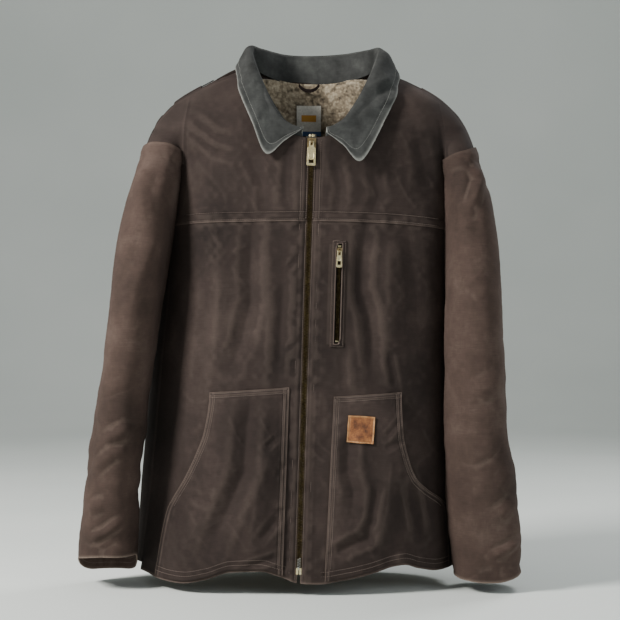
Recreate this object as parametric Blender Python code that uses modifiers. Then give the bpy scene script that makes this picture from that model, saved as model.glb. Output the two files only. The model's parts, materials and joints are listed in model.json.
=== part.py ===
"""Fleece-lined canvas work jacket, zipped up and hanging from its neck.

Frame: metres, +Z up, the front faces -Y and the wearer's left is +X. The origin is the middle of
the neck opening, where a hanger's arms would leave it. Each cloth piece is an open surface with a
Solidify modifier, and the two zips are built in the frame of an empty at their top end, with local
+Z up the zip and local -Y out of the cloth.
"""

import math

import bmesh
import bpy
from mathutils import Matrix, Vector

SIDES = {"right": -1, "left": 1}            # the wearer's own right and left

# Body outline, as (height, value)
LEAN = [(-0.81, -0.018), (-0.131, -0.003)]  # sideways drift of the body's middle as it hangs
HALF_WIDTH = [(-0.81, 0.262), (-0.60, 0.240), (-0.355, 0.232), (-0.131, 0.276),
              (-0.085, 0.258), (-0.045, 0.226), (-0.008, 0.165), (0.020, 0.105)]
BACK_DEPTH = [(-0.81, 0.120), (-0.40, 0.112), (-0.15, 0.085), (-0.02, 0.055), (0.02, 0.050)]
HEM = -0.810
ARMHOLE_TOP, ARMHOLE_BOTTOM = -0.131, -0.355
ARMHOLE_HALF_DEPTH = 0.072
ROUNDNESS = 2.6                             # exponent of the body's horizontal section
SHOULDER_CREASE = 0.035                     # how fast the neck fills out below the shoulder line

# Front edge and main zip
ZIP_TOP = Vector((0.003, -0.082, -0.107))
ZIP_LEAN, ZIP_SLOPE = 0.0303, 0.0654        # sideways and outward run per metre of drop
ZIP_LENGTH = 0.690
FRONT_GAP = 0.008                           # panel edge to zip middle

# Seams and cloth layers, measured inwards from the outer face of the canvas
YOKE_SEAM, YOKE_SEAM_DROP = -0.242, 0.008
SEAM_GAP = 0.0006
CANVAS, CANVAS_SPLIT = 0.0015, 0.0022       # thickness, and distance kept from the mid plane
FACING_INSET, FACING_REACH = 0.0045, 0.030
LINING_INSET, LINING, LINING_SPLIT = 0.0078, 0.0040, 0.0048

# Neck and collar
NECK_SHIFT, NECK_HALF = 0.008, 0.105
BACK_NECK = -0.020
COLLAR_LAYER, COLLAR_GAP, COLLAR_STAND = 0.0018, 0.0020, 0.0026
FRONT_NECK_ANGLES = (75, 55, 30, 13, 0)         # stations from the shoulder to the zip, in degrees
COLLAR_RISE = (0.040, 0.040, 0.037, 0.033, 0.034, 0.026, 0.018, 0.016, 0.014)
COLLAR_PULL_IN = (0.000, 0.000, 0.000, 0.002, 0.006, 0.012, 0.009, 0.003, 0.000)
LEAF_EDGE = {                               # free edge of the turned-down leaf, as (x, z)
    "right": [(0.002, -0.060), (-0.060, -0.055), (-0.104, -0.014), (-0.124, 0.018),
              (-0.114, -0.030), (-0.092, -0.083), (-0.070, -0.131), (-0.042, -0.117),
              (-0.015, -0.103)],
    "left": [(0.002, -0.060), (0.068, -0.055), (0.124, -0.020), (0.147, 0.007),
             (0.143, -0.028), (0.122, -0.078), (0.078, -0.144), (0.052, -0.124),
             (0.026, -0.106)]}
LEAF_LIFT = 0.010

# Sleeve rings below the armhole: outer x, outer z, inner x, inner z, middle y, half depth
SLEEVE_RINGS = {
    "right": [(-0.297, -0.200, -0.2420, -0.378, -0.012, 0.078),
              (-0.316, -0.300, -0.2430, -0.420, -0.028, 0.080),
              (-0.329, -0.420, -0.2465, -0.500, -0.036, 0.076),
              (-0.347, -0.560, -0.2545, -0.600, -0.040, 0.070),
              (-0.363, -0.680, -0.2660, -0.700, -0.042, 0.063),
              (-0.374, -0.775, -0.2790, -0.785, -0.042, 0.058)],
    "left": [(0.292, -0.210, 0.2270, -0.380, -0.016, 0.078),
             (0.307, -0.310, 0.2265, -0.430, -0.036, 0.080),
             (0.315, -0.440, 0.2275, -0.510, -0.048, 0.076),
             (0.319, -0.580, 0.2290, -0.620, -0.054, 0.070),
             (0.333, -0.700, 0.2330, -0.715, -0.057, 0.063),
             (0.337, -0.805, 0.2380, -0.812, -0.058, 0.058)]}
SLEEVE_SEGMENTS = 16
SLEEVE_GAP = 0.0024                         # between the armhole edge and the sleeve head
SLEEVE_LINING_INSET, SLEEVE_LINING = 0.0040, 0.0028
STORM_CUFF, STORM_CUFF_INSET = 0.0025, 0.0115

# Hand pockets: the inner edge runs beside the zip, the outer edge is the curved mouth
POCKET_TOP, POCKET_BOTTOM = -0.516, -0.797
POCKET_INNER = {"right": (-0.034, -0.042), "left": (0.038, 0.022)}    # x at the top and bottom
POCKET_OUTER = {
    "right": [(-0.797, -0.243), (-0.705, -0.234), (-0.688, -0.223), (-0.651, -0.2006),
              (-0.617, -0.184), (-0.578, -0.169), (-0.516, -0.159)],
    "left": [(-0.797, 0.224), (-0.705, 0.2215), (-0.690, 0.2160), (-0.671, 0.1864),
             (-0.651, 0.1664), (-0.617, 0.1546), (-0.578, 0.1456), (-0.516, 0.1470)]}
POCKET_MOUTH_FOOT = -0.695
POCKET_PUFF, POCKET_CLOTH, POCKET_SEAT = 0.021, 0.0014, 0.0022

# Patch, labels and hang loop
PATCH_CENTRE, PATCH_SIZE, PATCH_TILT = (0.0805, -0.573), (0.043, 0.042), math.radians(-5)
PATCH_THICKNESS = 0.0016
LABEL_INSET, LABEL_THICKNESS = 0.0132, 0.0006
LOOP_HALF, LOOP_BOW, LOOP_WIDTH, LOOP_THICKNESS = 0.017, 0.012, 0.006, 0.0012

# Chest pocket
CHEST_TOP, CHEST_BOTTOM = (0.0472, -0.284), (0.0425, -0.441)
CHEST_WELT_HALF, CHEST_SLOT_HALF = 0.011, 0.0050
CHEST_BAG = (0.031, 0.135, -0.480, -0.262)  # x from, x to, z from, z to

MATERIALS = {                               # linear base colour, roughness, metallic
    "canvas": ((0.085, 0.060, 0.050), 0.92, 0.0),
    "collar_cloth": ((0.055, 0.058, 0.057), 0.95, 0.0),
    "fleece": ((0.330, 0.245, 0.170), 1.00, 0.0),
    "quilted_lining": ((0.040, 0.032, 0.030), 0.60, 0.0),
    "rib_knit": ((0.030, 0.022, 0.020), 0.95, 0.0),
    "zip_tape": ((0.060, 0.042, 0.035), 0.90, 0.0),
    "brass": ((0.600, 0.430, 0.180), 0.35, 1.0),
    "aged_brass": ((0.330, 0.250, 0.110), 0.45, 1.0),
    "leather": ((0.420, 0.180, 0.060), 0.60, 0.0),
    "label_cloth": ((0.800, 0.780, 0.720), 0.80, 0.0)}


# ---------------------------------------------------------------- small helpers

def lerp(a, b, t):
    return a + (b - a) * t


def smooth(low, high, value):
    """Smooth step from 0 at low to 1 at high."""
    t = min(1.0, max(0.0, (value - low) / (high - low)))
    return t * t * (3 - 2 * t)


def interpolate(rows, key):
    """Straight-line lookup in rows of (key, value), held level past both ends."""
    rows = sorted(rows)
    if key <= rows[0][0]:
        return rows[0][1]
    for (k0, v0), (k1, v1) in zip(rows, rows[1:]):
        if key <= k1:
            return lerp(v0, v1, (key - k0) / (k1 - k0))
    return rows[-1][1]


def clear_scene():
    for item in list(bpy.data.objects):
        bpy.data.objects.remove(item, do_unlink=True)


def make_collection(name):
    collection = bpy.data.collections.new(name)
    bpy.context.scene.collection.children.link(collection)
    return collection


def make_material(name, colour, roughness, metallic):
    material = bpy.data.materials.new(name)
    material.use_nodes = True
    shader = material.node_tree.nodes["Principled BSDF"]
    shader.inputs["Base Color"].default_value = (*colour, 1.0)
    shader.inputs["Roughness"].default_value = roughness
    shader.inputs["Metallic"].default_value = metallic
    return material


def add_object(name, data, material, parent=None, collection=None):
    """Link data as a named object with its own material."""
    item = bpy.data.objects.new(name, data)
    (collection or JACKET).objects.link(item)
    if material:
        data.materials.append(bpy.data.materials[material])
    item.parent = parent
    return item


def shell(name, grid, thickness, material, flip=False, wrap=False, grow=-1):
    """Cloth piece: a grid of points as an open surface, thickened away from its normals."""
    mesh = bpy.data.meshes.new(name)
    form = bmesh.new()
    rows = [[form.verts.new(point) for point in row] for row in grid]
    for lower, upper in zip(rows, rows[1:]):
        spans = list(zip(lower, lower[1:], upper[1:], upper))
        if wrap:
            spans.append((lower[-1], lower[0], upper[0], upper[-1]))
        for face in spans:
            form.faces.new(reversed(face) if flip else face)
    form.to_mesh(mesh)
    form.free()
    mesh.shade_smooth()
    item = add_object(name, mesh, material)
    solidify = item.modifiers.new("Thickness", "SOLIDIFY")
    solidify.thickness = thickness
    solidify.offset = grow
    solidify.use_even_offset = True
    return item


def offset_grid(grid, distance, wrap=False):
    """The grid moved along its own normals (columns cross rows) by a distance."""
    moved = []
    for i, row in enumerate(grid):
        before, after = grid[max(i - 1, 0)], grid[min(i + 1, len(grid) - 1)]
        new_row = []
        for j, point in enumerate(row):
            if wrap:
                left, right = row[j - 1], row[(j + 1) % len(row)]
            else:
                left, right = row[max(j - 1, 0)], row[min(j + 1, len(row) - 1)]
            normal = (right - left).cross(after[j] - before[j]).normalized()
            new_row.append(point + normal * distance)
        moved.append(new_row)
    return moved


# Turns that stand a flat outline up, so that its thickness runs along the named axis
PLATE_TURN = {"X": (math.pi / 2, 0, math.pi / 2), "Y": (math.pi / 2, 0, 0), "Z": (0, 0, 0)}


def extrusion(name, outlines, axis, low, high, material, parent, collection=None):
    """Plate from flat outlines (the first is the rim, the rest are holes), thick along axis."""
    curve = bpy.data.curves.new(name, "CURVE")
    curve.dimensions = "2D"
    curve.fill_mode = "BOTH"
    curve.extrude = (high - low) / 2
    for outline in outlines:
        spline = curve.splines.new("POLY")
        spline.points.add(len(outline) - 1)
        for point, (u, v) in zip(spline.points, outline):
            point.co = (u, v, 0, 1)
        spline.use_cyclic_u = True
    item = add_object(name, curve, material, parent, collection)
    item.rotation_euler = PLATE_TURN[axis]
    item.location["XYZ".index(axis)] = (low + high) / 2
    return item


def rectangle(u0, u1, v0, v1):
    return [(u0, v0), (u1, v0), (u1, v1), (u0, v1)]


def arc(u, v, radius, start, end, steps):
    """Points round (u, v) from start to end, in degrees."""
    angles = [math.radians(lerp(start, end, k / steps)) for k in range(steps + 1)]
    return [(u + radius * math.cos(a), v + radius * math.sin(a)) for a in angles]


def as_mesh(curve_object):
    """Swap a curve object for a mesh object of the same shape, with its caps welded on."""
    bpy.context.view_layer.update()
    evaluated = curve_object.evaluated_get(bpy.context.evaluated_depsgraph_get())
    mesh = bpy.data.meshes.new_from_object(evaluated)
    form = bmesh.new()
    form.from_mesh(mesh)
    bmesh.ops.remove_doubles(form, verts=form.verts, dist=0.00001)
    bmesh.ops.recalc_face_normals(form, faces=form.faces)
    form.to_mesh(mesh)
    form.free()
    name = curve_object.name
    item = bpy.data.objects.new(name + "_mesh", mesh)
    curve_object.users_collection[0].objects.link(item)
    item.parent = curve_object.parent
    item.matrix_local = curve_object.matrix_local
    bpy.data.objects.remove(curve_object, do_unlink=True)
    item.name = name
    return item


def combine(item, other, operation, solver="EXACT"):
    """Boolean of item with a hidden helper object."""
    boolean = item.modifiers.new(operation.title(), "BOOLEAN")
    boolean.operation = operation
    boolean.solver = solver
    boolean.object = other
    other.hide_render = True
    other.display_type = "WIRE"


# ---------------------------------------------------------------- the body's surface

def zip_x(z):
    return ZIP_TOP.x + ZIP_LEAN * (z - ZIP_TOP.z)


def front_depth(z):
    return -ZIP_TOP.y + ZIP_SLOPE * (ZIP_TOP.z - z)


def shoulder_height(x):
    """Height of the shoulder line over x, carried on straight across the neck opening."""
    rows = [(width, z) for z, width in HALF_WIDTH if z >= ARMHOLE_TOP]
    reach = abs(x - LEAN[-1][1])
    (inner, top), (outer, low) = sorted(rows)[:2]
    if reach < inner:
        return top + (inner - reach) * (top - low) / (outer - inner)
    return interpolate(rows, reach)


def armhole_half_depth(z):
    middle, half = (ARMHOLE_TOP + ARMHOLE_BOTTOM) / 2, (ARMHOLE_TOP - ARMHOLE_BOTTOM) / 2
    return ARMHOLE_HALF_DEPTH * math.sqrt(max(0.0, 1 - ((z - middle) / half) ** 2))


def half_width(z, inset=0.0):
    """Half width of the body at a height; on the shoulders an inset lowers the outline."""
    if z > ARMHOLE_TOP:
        return interpolate(HALF_WIDTH, z + inset)
    return interpolate(HALF_WIDTH, z) - inset


def half_depth(x, z, back, inset):
    """Distance of the cloth from the mid plane y = 0."""
    reach = abs(x - interpolate(LEAN, z))
    full = (interpolate(BACK_DEPTH, z) if back else front_depth(z)) - inset
    edge = max(0.0, armhole_half_depth(z) - inset)
    across = min(1.0, reach / half_width(z, inset))
    below_shoulder = max(0.0, shoulder_height(x) - inset - z)
    crease = smooth(0.03, 0.09, reach) * (1 - 0.7 * smooth(0.12, 0.20, reach))
    fullness = 1 - math.exp(-below_shoulder / SHOULDER_CREASE) * crease
    return edge + (full - edge) * math.sqrt(1 - across ** ROUNDNESS) * fullness


def body_point(x, z, back=False, inset=0.0, split=0.0):
    """Point of the body's surface; split keeps the front and back halves apart."""
    depth = max(split, half_depth(x, z, back, inset))
    return Vector((x, depth if back else -depth, z))


def neck_side(sign):
    x = NECK_SHIFT + sign * NECK_HALF
    return x, shoulder_height(x)


def front_neck(sign, angle):
    """Neckline point of a front panel: angle 0 is at the zip, 90 on the shoulder."""
    edge = zip_x(ZIP_TOP.z) + sign * FRONT_GAP
    side_x, side_z = neck_side(sign)
    x = lerp(edge, side_x, math.sin(math.radians(angle)))
    return x, lerp(ZIP_TOP.z, side_z, 1 - math.cos(math.radians(angle)))


def back_neck(sign, t):
    """Neckline point of the back: t is 0 at the middle and 1 on the shoulder."""
    side_x, side_z = neck_side(sign)
    return lerp(NECK_SHIFT, side_x, t), lerp(BACK_NECK, side_z, t ** 2.2)


def seam_height(x, z_guess=YOKE_SEAM):
    across = (x - interpolate(LEAN, z_guess)) / half_width(z_guess)
    return YOKE_SEAM - YOKE_SEAM_DROP * across ** 2


# Column and row spacing of the cloth grids; columns crowd towards the side, where it curves most
COLUMNS = [math.sin(math.radians(90) * c / 9) for c in range(10)]
PANEL_ROWS = (-0.66, -0.51, -0.40, ARMHOLE_BOTTOM, -0.32, -0.28)
YOKE_ROWS = (0.0, 0.35, 0.65, 0.85, 0.95, 1.0)
SHOULDER_REACH = (0.135, 0.180, 0.226, 0.258)


def lower_rows(sign, back, inset, split, inner_x, hem):
    """Rows of the grid from the hem up to the yoke seam."""
    grid = []
    for z in (hem, *PANEL_ROWS, None):
        row = []
        for t in COLUMNS:
            height = YOKE_SEAM if z is None else z
            outer = interpolate(LEAN, height) + sign * half_width(height, inset)
            x = lerp(inner_x(height), outer, t)
            if z is None:
                height = seam_height(x) - SEAM_GAP / 2
                x = lerp(inner_x(height),
                         interpolate(LEAN, height) + sign * half_width(height, inset), t)
            row.append(body_point(x, height, back, inset, split))
        grid.append(row)
    return grid


def upper_rows(sign, back, inset, split, inner_x, first_angle=0.0):
    """Rows of the grid from the yoke seam up to the neckline and shoulder."""
    top = []
    for k in range(5):
        if back:
            x, z = back_neck(sign, k / 4)
        else:
            x, z = front_neck(sign, lerp(first_angle, 90, k / 4))
        top.append((x, z - inset * k / 4))
    for reach in SHOULDER_REACH:
        x = LEAN[-1][1] + sign * reach
        top.append((x, shoulder_height(x) - inset))
    tip = interpolate(HALF_WIDTH, ARMHOLE_TOP)
    top.append((LEAN[-1][1] + sign * (tip - inset), ARMHOLE_TOP - inset / 2))
    grid = []
    for t in YOKE_ROWS:
        row = []
        for column, (top_x, top_z) in zip(COLUMNS, top):
            outer = interpolate(LEAN, YOKE_SEAM) + sign * half_width(YOKE_SEAM, inset)
            x = lerp(inner_x(YOKE_SEAM), outer, column)
            z = seam_height(x) + SEAM_GAP / 2
            row.append(body_point(lerp(x, top_x, t), lerp(z, top_z, t), back, inset, split))
        grid.append(row)
    return grid


def both_sides(rows_of):
    """One grid across the whole back, from the right edge to the left edge."""
    right, left = rows_of(-1), rows_of(1)
    return [row_r[:0:-1] + row_l for row_r, row_l in zip(right, left)]


# ---------------------------------------------------------------- body, facings and lining

def make_fronts():
    for side, sign in SIDES.items():
        def inner_x(z):
            return zip_x(z) + sign * FRONT_GAP
        lower = lower_rows(sign, False, 0.0, CANVAS_SPLIT, inner_x, HEM)
        upper = upper_rows(sign, False, 0.0, CANVAS_SPLIT, inner_x)
        shell(side + "_front_panel", lower, CANVAS, "canvas", flip=sign < 0)
        shell(side + "_front_yoke", upper, CANVAS, "canvas", flip=sign < 0)


def make_back():
    def lower(sign):
        return lower_rows(sign, True, 0.0, CANVAS_SPLIT, lambda z: 0.0, HEM)

    def upper(sign):
        return upper_rows(sign, True, 0.0, CANVAS_SPLIT, lambda z: 0.0)
    shell("back_panel", both_sides(lower), CANVAS, "canvas", flip=True)
    shell("back_yoke", both_sides(upper), CANVAS, "canvas", flip=True)


def make_linings():
    hem = HEM + 0.014
    for side, sign in SIDES.items():
        def inner_x(z):
            return zip_x(z) + sign * (FACING_REACH + 0.001)
        first = math.degrees(math.asin((FACING_REACH + 0.001 - FRONT_GAP) / NECK_HALF))
        rows = lower_rows(sign, False, LINING_INSET, LINING_SPLIT, inner_x, hem)
        rows += upper_rows(sign, False, LINING_INSET, LINING_SPLIT, inner_x, first)
        shell(side + "_front_lining", rows, LINING, "fleece", flip=sign < 0)

    def back_rows(sign):
        rows = lower_rows(sign, True, LINING_INSET, LINING_SPLIT, lambda z: 0.0, hem)
        return rows + upper_rows(sign, True, LINING_INSET, LINING_SPLIT, lambda z: 0.0)
    shell("back_lining", both_sides(back_rows), LINING, "fleece", flip=True)


def make_facings():
    """Canvas strip behind each half of the main zip."""
    for side, sign in SIDES.items():
        grid = []
        for z in (HEM + 0.003, *PANEL_ROWS, -0.20, ZIP_TOP.z - 0.001):
            columns = (lerp(FRONT_GAP + 0.0005, FACING_REACH, t) for t in (0, 0.5, 1))
            grid.append([body_point(zip_x(z) + sign * c, z, inset=FACING_INSET) for c in columns])
        shell(side + "_front_facing", grid, CANVAS, "canvas", flip=sign < 0)


# ---------------------------------------------------------------- collar

def collar_stations(side):
    """Neckline points and their outward directions, from the middle of the back to the zip."""
    sign = SIDES[side]
    points = []
    for t in (0.0, 0.45, 0.82):
        x, z = back_neck(sign, t)
        points.append(body_point(x, z, True, 0.0, CANVAS_SPLIT))
    x, z = neck_side(sign)
    points.append(Vector((x, 0.0, z)))
    for angle in FRONT_NECK_ANGLES:
        x, z = front_neck(sign, angle)
        points.append(body_point(x, z, False, 0.0, CANVAS_SPLIT))
    return points


def fold_points(side):
    """The crest of the collar, over each station."""
    stations = collar_stations(side)
    folds = []
    for point, rise, pull_in in zip(stations, COLLAR_RISE, COLLAR_PULL_IN):
        inward = Vector((NECK_SHIFT - point.x, -point.y, 0)).normalized()
        folds.append(point + inward * pull_in + Vector((0, 0, rise)))
    return folds


def leaf_edge(side):
    """The free edge of the leaf, laid over the shoulder a little clear of the cloth."""
    edge = []
    for index, (x, z) in enumerate(LEAF_EDGE[side]):
        point = body_point(x, z, back=index < 3)
        if index == 3:
            point.y = 0.0
        else:
            point.y += LEAF_LIFT * (1 if index < 3 else -1)
        edge.append(point)
    return edge


def bend(start, end, lift, t):
    """Point of the leaf between the fold and the free edge, bowed up and out."""
    outward = Vector((end.x - start.x, end.y - start.y, 0))
    knee = start + outward * 0.45 + Vector((0, 0, lift))
    return start * (1 - t) ** 2 + knee * 2 * t * (1 - t) + end * t ** 2


def join_halves(grid_of):
    """Rows of both sides as one grid, right front to left front round the back of the neck."""
    right, left = grid_of("right"), grid_of("left")
    return [row_r[:0:-1] + row_l for row_r, row_l in zip(right, left)]


def make_collar():
    def stand(side):
        start = collar_stations(side)
        top = fold_points(side)
        foot, head = Vector((0, 0, 0.0042)), Vector((0, 0, -0.0014))
        return [[lerp(s + foot, f + head, t) for s, f in zip(start, top)] for t in (0, 0.5, 1)]

    def leaf(side):
        pairs = list(zip(fold_points(side), leaf_edge(side), COLLAR_RISE))
        return [[bend(fold, edge, rise * 0.35, t) for fold, edge, rise in pairs]
                for t in (0, 0.12, 0.35, 0.65, 1)]
    shell("collar_stand", join_halves(stand), COLLAR_STAND, "collar_cloth", flip=True)
    under = join_halves(leaf)
    shell("under_collar", under, COLLAR_LAYER, "collar_cloth", grow=1)
    shell("top_collar", offset_grid(under, COLLAR_LAYER + COLLAR_GAP), COLLAR_LAYER,
          "collar_cloth", grow=1)


# ---------------------------------------------------------------- sleeves

def sleeve_rings(side):
    """Closed rings of points down the sleeve, from the armhole to the cuff."""
    sign = SIDES[side]
    top = Vector((interpolate(LEAN, ARMHOLE_TOP) + sign * half_width(ARMHOLE_TOP), 0, ARMHOLE_TOP))
    low = Vector((interpolate(LEAN, ARMHOLE_BOTTOM) + sign * half_width(ARMHOLE_BOTTOM), 0,
                  ARMHOLE_BOTTOM))
    slant = (top - low).normalized()
    away = Vector((sign * slant.z, 0, -sign * slant.x)) * SLEEVE_GAP
    specs = [(top + away, low + away, ARMHOLE_HALF_DEPTH)]
    for outer_x, outer_z, inner_x, inner_z, middle_y, depth in SLEEVE_RINGS[side]:
        specs.append((Vector((outer_x, middle_y, outer_z)), Vector((inner_x, middle_y, inner_z)),
                      depth))
    rings = []
    for outer, inner, depth in specs:
        middle, half = (outer + inner) / 2, (outer - inner) / 2
        ring = []
        for k in range(SLEEVE_SEGMENTS):
            angle = 2 * math.pi * k / SLEEVE_SEGMENTS
            ring.append(middle + half * math.cos(angle) + Vector((0, depth * math.sin(angle), 0)))
        rings.append(ring)
    return rings


def shortened(rings, keep):
    """The same rings with the last one pulled up, so that the tube stops short of the cuff."""
    last = [lerp(upper, lower, keep) for upper, lower in zip(rings[-2], rings[-1])]
    return rings[:-1] + [last]


def make_sleeves():
    for side, sign in SIDES.items():
        flip, inward = sign > 0, sign
        rings = sleeve_rings(side)
        shell(side + "_sleeve", rings, CANVAS, "canvas", flip, wrap=True)
        lining = shortened(offset_grid(rings, inward * SLEEVE_LINING_INSET, wrap=True), 0.85)
        shell(side + "_sleeve_lining", lining, SLEEVE_LINING, "quilted_lining", flip, wrap=True)
        cuff = offset_grid(rings, inward * STORM_CUFF_INSET, wrap=True)[-2:]
        shell(side + "_storm_cuff", cuff, STORM_CUFF, "rib_knit", flip, wrap=True)


# ---------------------------------------------------------------- zips

def zip_empty(name, top, bottom, outward):
    """Empty at the top of a zip, with local +Z up the zip and local -Y outwards."""
    up = (top - bottom).normalized()
    inward = -(outward - up * outward.dot(up)).normalized()
    turn = Matrix((inward.cross(up), inward, up)).transposed().to_4x4()
    empty = bpy.data.objects.new(name, None)
    JACKET.objects.link(empty)
    empty.matrix_world = Matrix.Translation(top) @ turn
    return empty


def comb(length, pitch, root, tip, valley):
    """Outline of one row of teeth, from its top to its foot."""
    points = [(root, 0.0)]
    count = int(length / pitch)
    for k in range(count):
        high = -k * pitch
        points += [(tip, high), (tip, high - pitch * 0.5),
                   (valley, high - pitch * 0.5), (valley, high - pitch)]
    return points + [(root, -count * pitch)]


def make_chain(prefix, frame, length, size, pitch):
    """Tapes and teeth of a zip; size scales its width, and the middle is left free to slide in."""
    for side, sign in SIDES.items():
        edge = sorted((sign * 0.0045 * size, sign * 0.0165 * size))
        extrusion(prefix + side + "_zip_tape", [rectangle(*edge, -length, 0.0)], "Y",
                  0.0029, 0.0036, "zip_tape", frame)
        outline = comb(length - 0.006, pitch, 0.0042 * size, 0.0007, 0.0026 * size)
        teeth = extrusion(prefix + side + "_zip_teeth", [outline], "Y", -0.0002, 0.0036, "brass",
                          frame)
        if sign < 0:
            teeth.rotation_euler.z = math.pi


def make_slider(name, frame, size):
    """Slider: two plates joined by a thin wedge, with a bridge that holds the pull's bar."""
    wide, top, foot = 0.0070 * size, -0.001, -0.001 - 0.020 * size
    front, back, web = (-0.0030, -0.0008), (0.0041, 0.0052), 0.0004
    section = [(-wide, front[0]), (wide, front[0]), (wide, front[1]), (web, front[1]),
               (web, back[0]), (wide, back[0]), (wide, back[1]), (-wide, back[1]),
               (-wide, back[0]), (-web, back[0]), (-web, front[1]), (-wide, front[1])]
    slider = as_mesh(extrusion(name, [section], "Z", foot, top, "aged_brass", frame))
    pivot_y, pivot_z = pull_pivot(size)
    rim = arc(pivot_y, pivot_z, 0.0025, 100, 260, 10)
    rim += [(front[0] + 0.0008, pivot_z - 0.0046), (front[0] + 0.0008, pivot_z + 0.0046)]
    hole = arc(pivot_y, pivot_z, 0.0014, 0, 330, 11)
    bridge = as_mesh(extrusion(name + "_bridge", [rim, hole], "X", -0.0014, 0.0014,
                               None, frame, HELPERS))
    combine(slider, bridge, "UNION", "MANIFOLD")


def pull_pivot(size):
    return -0.0062, -0.0075 - 0.0025 * (size - 1)


def make_pull(name, frame, size, length):
    """Pull: a flat tab with an eye whose top bar turns in the slider's bridge, and a window."""
    pivot_y, pivot_z = pull_pivot(size)
    arm, wide, foot = 0.0036, 0.0070 * size, pivot_z - length
    neck, shoulder = pivot_z - 0.0085, pivot_z - 0.0105
    rim = [(-arm, pivot_z + 0.0007), (arm, pivot_z + 0.0007), (arm, neck), (wide * 0.94, shoulder)]
    rim += arc(wide - 0.0015, foot + 0.0015, 0.0015, 0, -90, 3)
    rim += arc(-wide + 0.0015, foot + 0.0015, 0.0015, -90, -180, 3)
    rim += [(-wide * 0.94, shoulder), (-arm, neck)]
    eye = rectangle(-0.0020, 0.0020, pivot_z - 0.0066, pivot_z - 0.0007)
    window = rectangle(-wide * 0.57, wide * 0.57, foot + 0.004, foot + 0.010)
    return extrusion(name, [rim, eye, window], "Y", pivot_y - 0.0008, pivot_y + 0.0008,
                     "brass", frame)


def make_main_zip():
    end = Vector((zip_x(ZIP_TOP.z - 0.1), -front_depth(ZIP_TOP.z - 0.1), ZIP_TOP.z - 0.1))
    frame = zip_empty("main_zip_frame", ZIP_TOP, end, Vector((0, -1, 0)))
    make_chain("", frame, ZIP_LENGTH, 1.0, 0.012)
    make_slider("main_slider", frame, 1.0)
    make_pull("main_pull", frame, 1.0, 0.039)
    for side, sign in SIDES.items():
        stop = sorted((sign * 0.0008, sign * 0.0042))
        extrusion(side + "_top_stop", [rectangle(*stop, 0.001, 0.005)], "Y", -0.0006, 0.0036,
                  "brass", frame)
    foot = -ZIP_LENGTH + 0.0045
    extrusion("retainer_box", [rectangle(-0.0042, -0.0008, foot - 0.010, foot)], "Y",
              -0.0016, 0.0046, "brass", frame)
    extrusion("insertion_pin", [rectangle(0.0008, 0.0042, foot - 0.010, foot)], "Y",
              -0.0006, 0.0036, "brass", frame)


def make_chest_pocket():
    top, bottom = body_point(*CHEST_TOP), body_point(*CHEST_BOTTOM)
    beside = body_point(CHEST_TOP[0] + 0.01, CHEST_TOP[1])
    outward = (beside - top).cross(top - bottom).normalized()
    frame = zip_empty("chest_zip_frame", top, bottom, outward)
    length = (top - bottom).length
    welt = rectangle(-CHEST_WELT_HALF, CHEST_WELT_HALF, -length - 0.001, 0.010)
    slot = rectangle(-CHEST_SLOT_HALF, CHEST_SLOT_HALF, -length + 0.004, 0.005)
    extrusion("chest_pocket_welt", [welt, slot], "Y", -0.0014, -0.0005, "canvas", frame)
    make_chain("chest_", frame, length - 0.007, 0.65, 0.010)
    make_slider("chest_slider", frame, 0.65)
    make_pull("chest_pull", frame, 0.65, 0.026)
    foot = -length + 0.0105
    for name, low in (("chest_top_stop", 0.0005), ("chest_bottom_stop", foot - 0.0045)):
        extrusion(name, [rectangle(-0.0027, 0.0027, low, low + 0.003)], "Y", 0.0004, 0.0028,
                  "brass", frame)
    bpy.ops.mesh.primitive_cube_add(size=1)
    cutter = bpy.context.object
    cutter.name = "chest_slot_cutter"
    cutter.data.transform(Matrix.Diagonal((CHEST_SLOT_HALF * 2, 0.012, length + 0.001, 1)))
    cutter.data.transform(Matrix.Translation((0, 0, -length / 2 + 0.0045)))
    cutter.parent = frame
    for collection in cutter.users_collection:
        collection.objects.unlink(cutter)
    HELPERS.objects.link(cutter)
    combine(bpy.data.objects["left_front_panel"], cutter, "DIFFERENCE")
    surface_patch("chest_pocket_bag", CHEST_BAG, False, 0.0056, CANVAS, "canvas", 7)


# ---------------------------------------------------------------- pieces laid on the body

def surface_patch(name, box, back, inset, thickness, material, steps):
    """Flat cloth piece that follows the body's surface over a box of (x0, x1, z0, z1)."""
    x0, x1, z0, z1 = box
    grid = []
    for r in range(steps):
        z = lerp(z0, z1, r / (steps - 1))
        xs = [lerp(x0, x1, c / (steps - 1)) for c in range(steps)]
        grid.append([body_point(x, z, back, inset) for x in xs])
    return shell(name, grid, thickness, material, flip=back)


def pocket_spot(side, u, z):
    """Point of a hand pocket's inner face: u is 0 at the inner edge and 1 at the mouth."""
    v = (z - POCKET_BOTTOM) / (POCKET_TOP - POCKET_BOTTOM)
    top_x, bottom_x = POCKET_INNER[side]
    x = lerp(lerp(bottom_x, top_x, v), interpolate(POCKET_OUTER[side], z), u)
    is_mouth = smooth(POCKET_MOUTH_FOOT, POCKET_MOUTH_FOOT + 0.05, z)
    sewn, free = math.sin(math.pi * u), math.sin(math.pi / 2 * u)
    across = lerp(sewn, free, is_mouth)
    lift = POCKET_SEAT + POCKET_PUFF * across * max(0.0, math.sin(math.pi * v)) ** 0.7
    point = body_point(x, z)
    point.y -= lift
    return point


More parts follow.
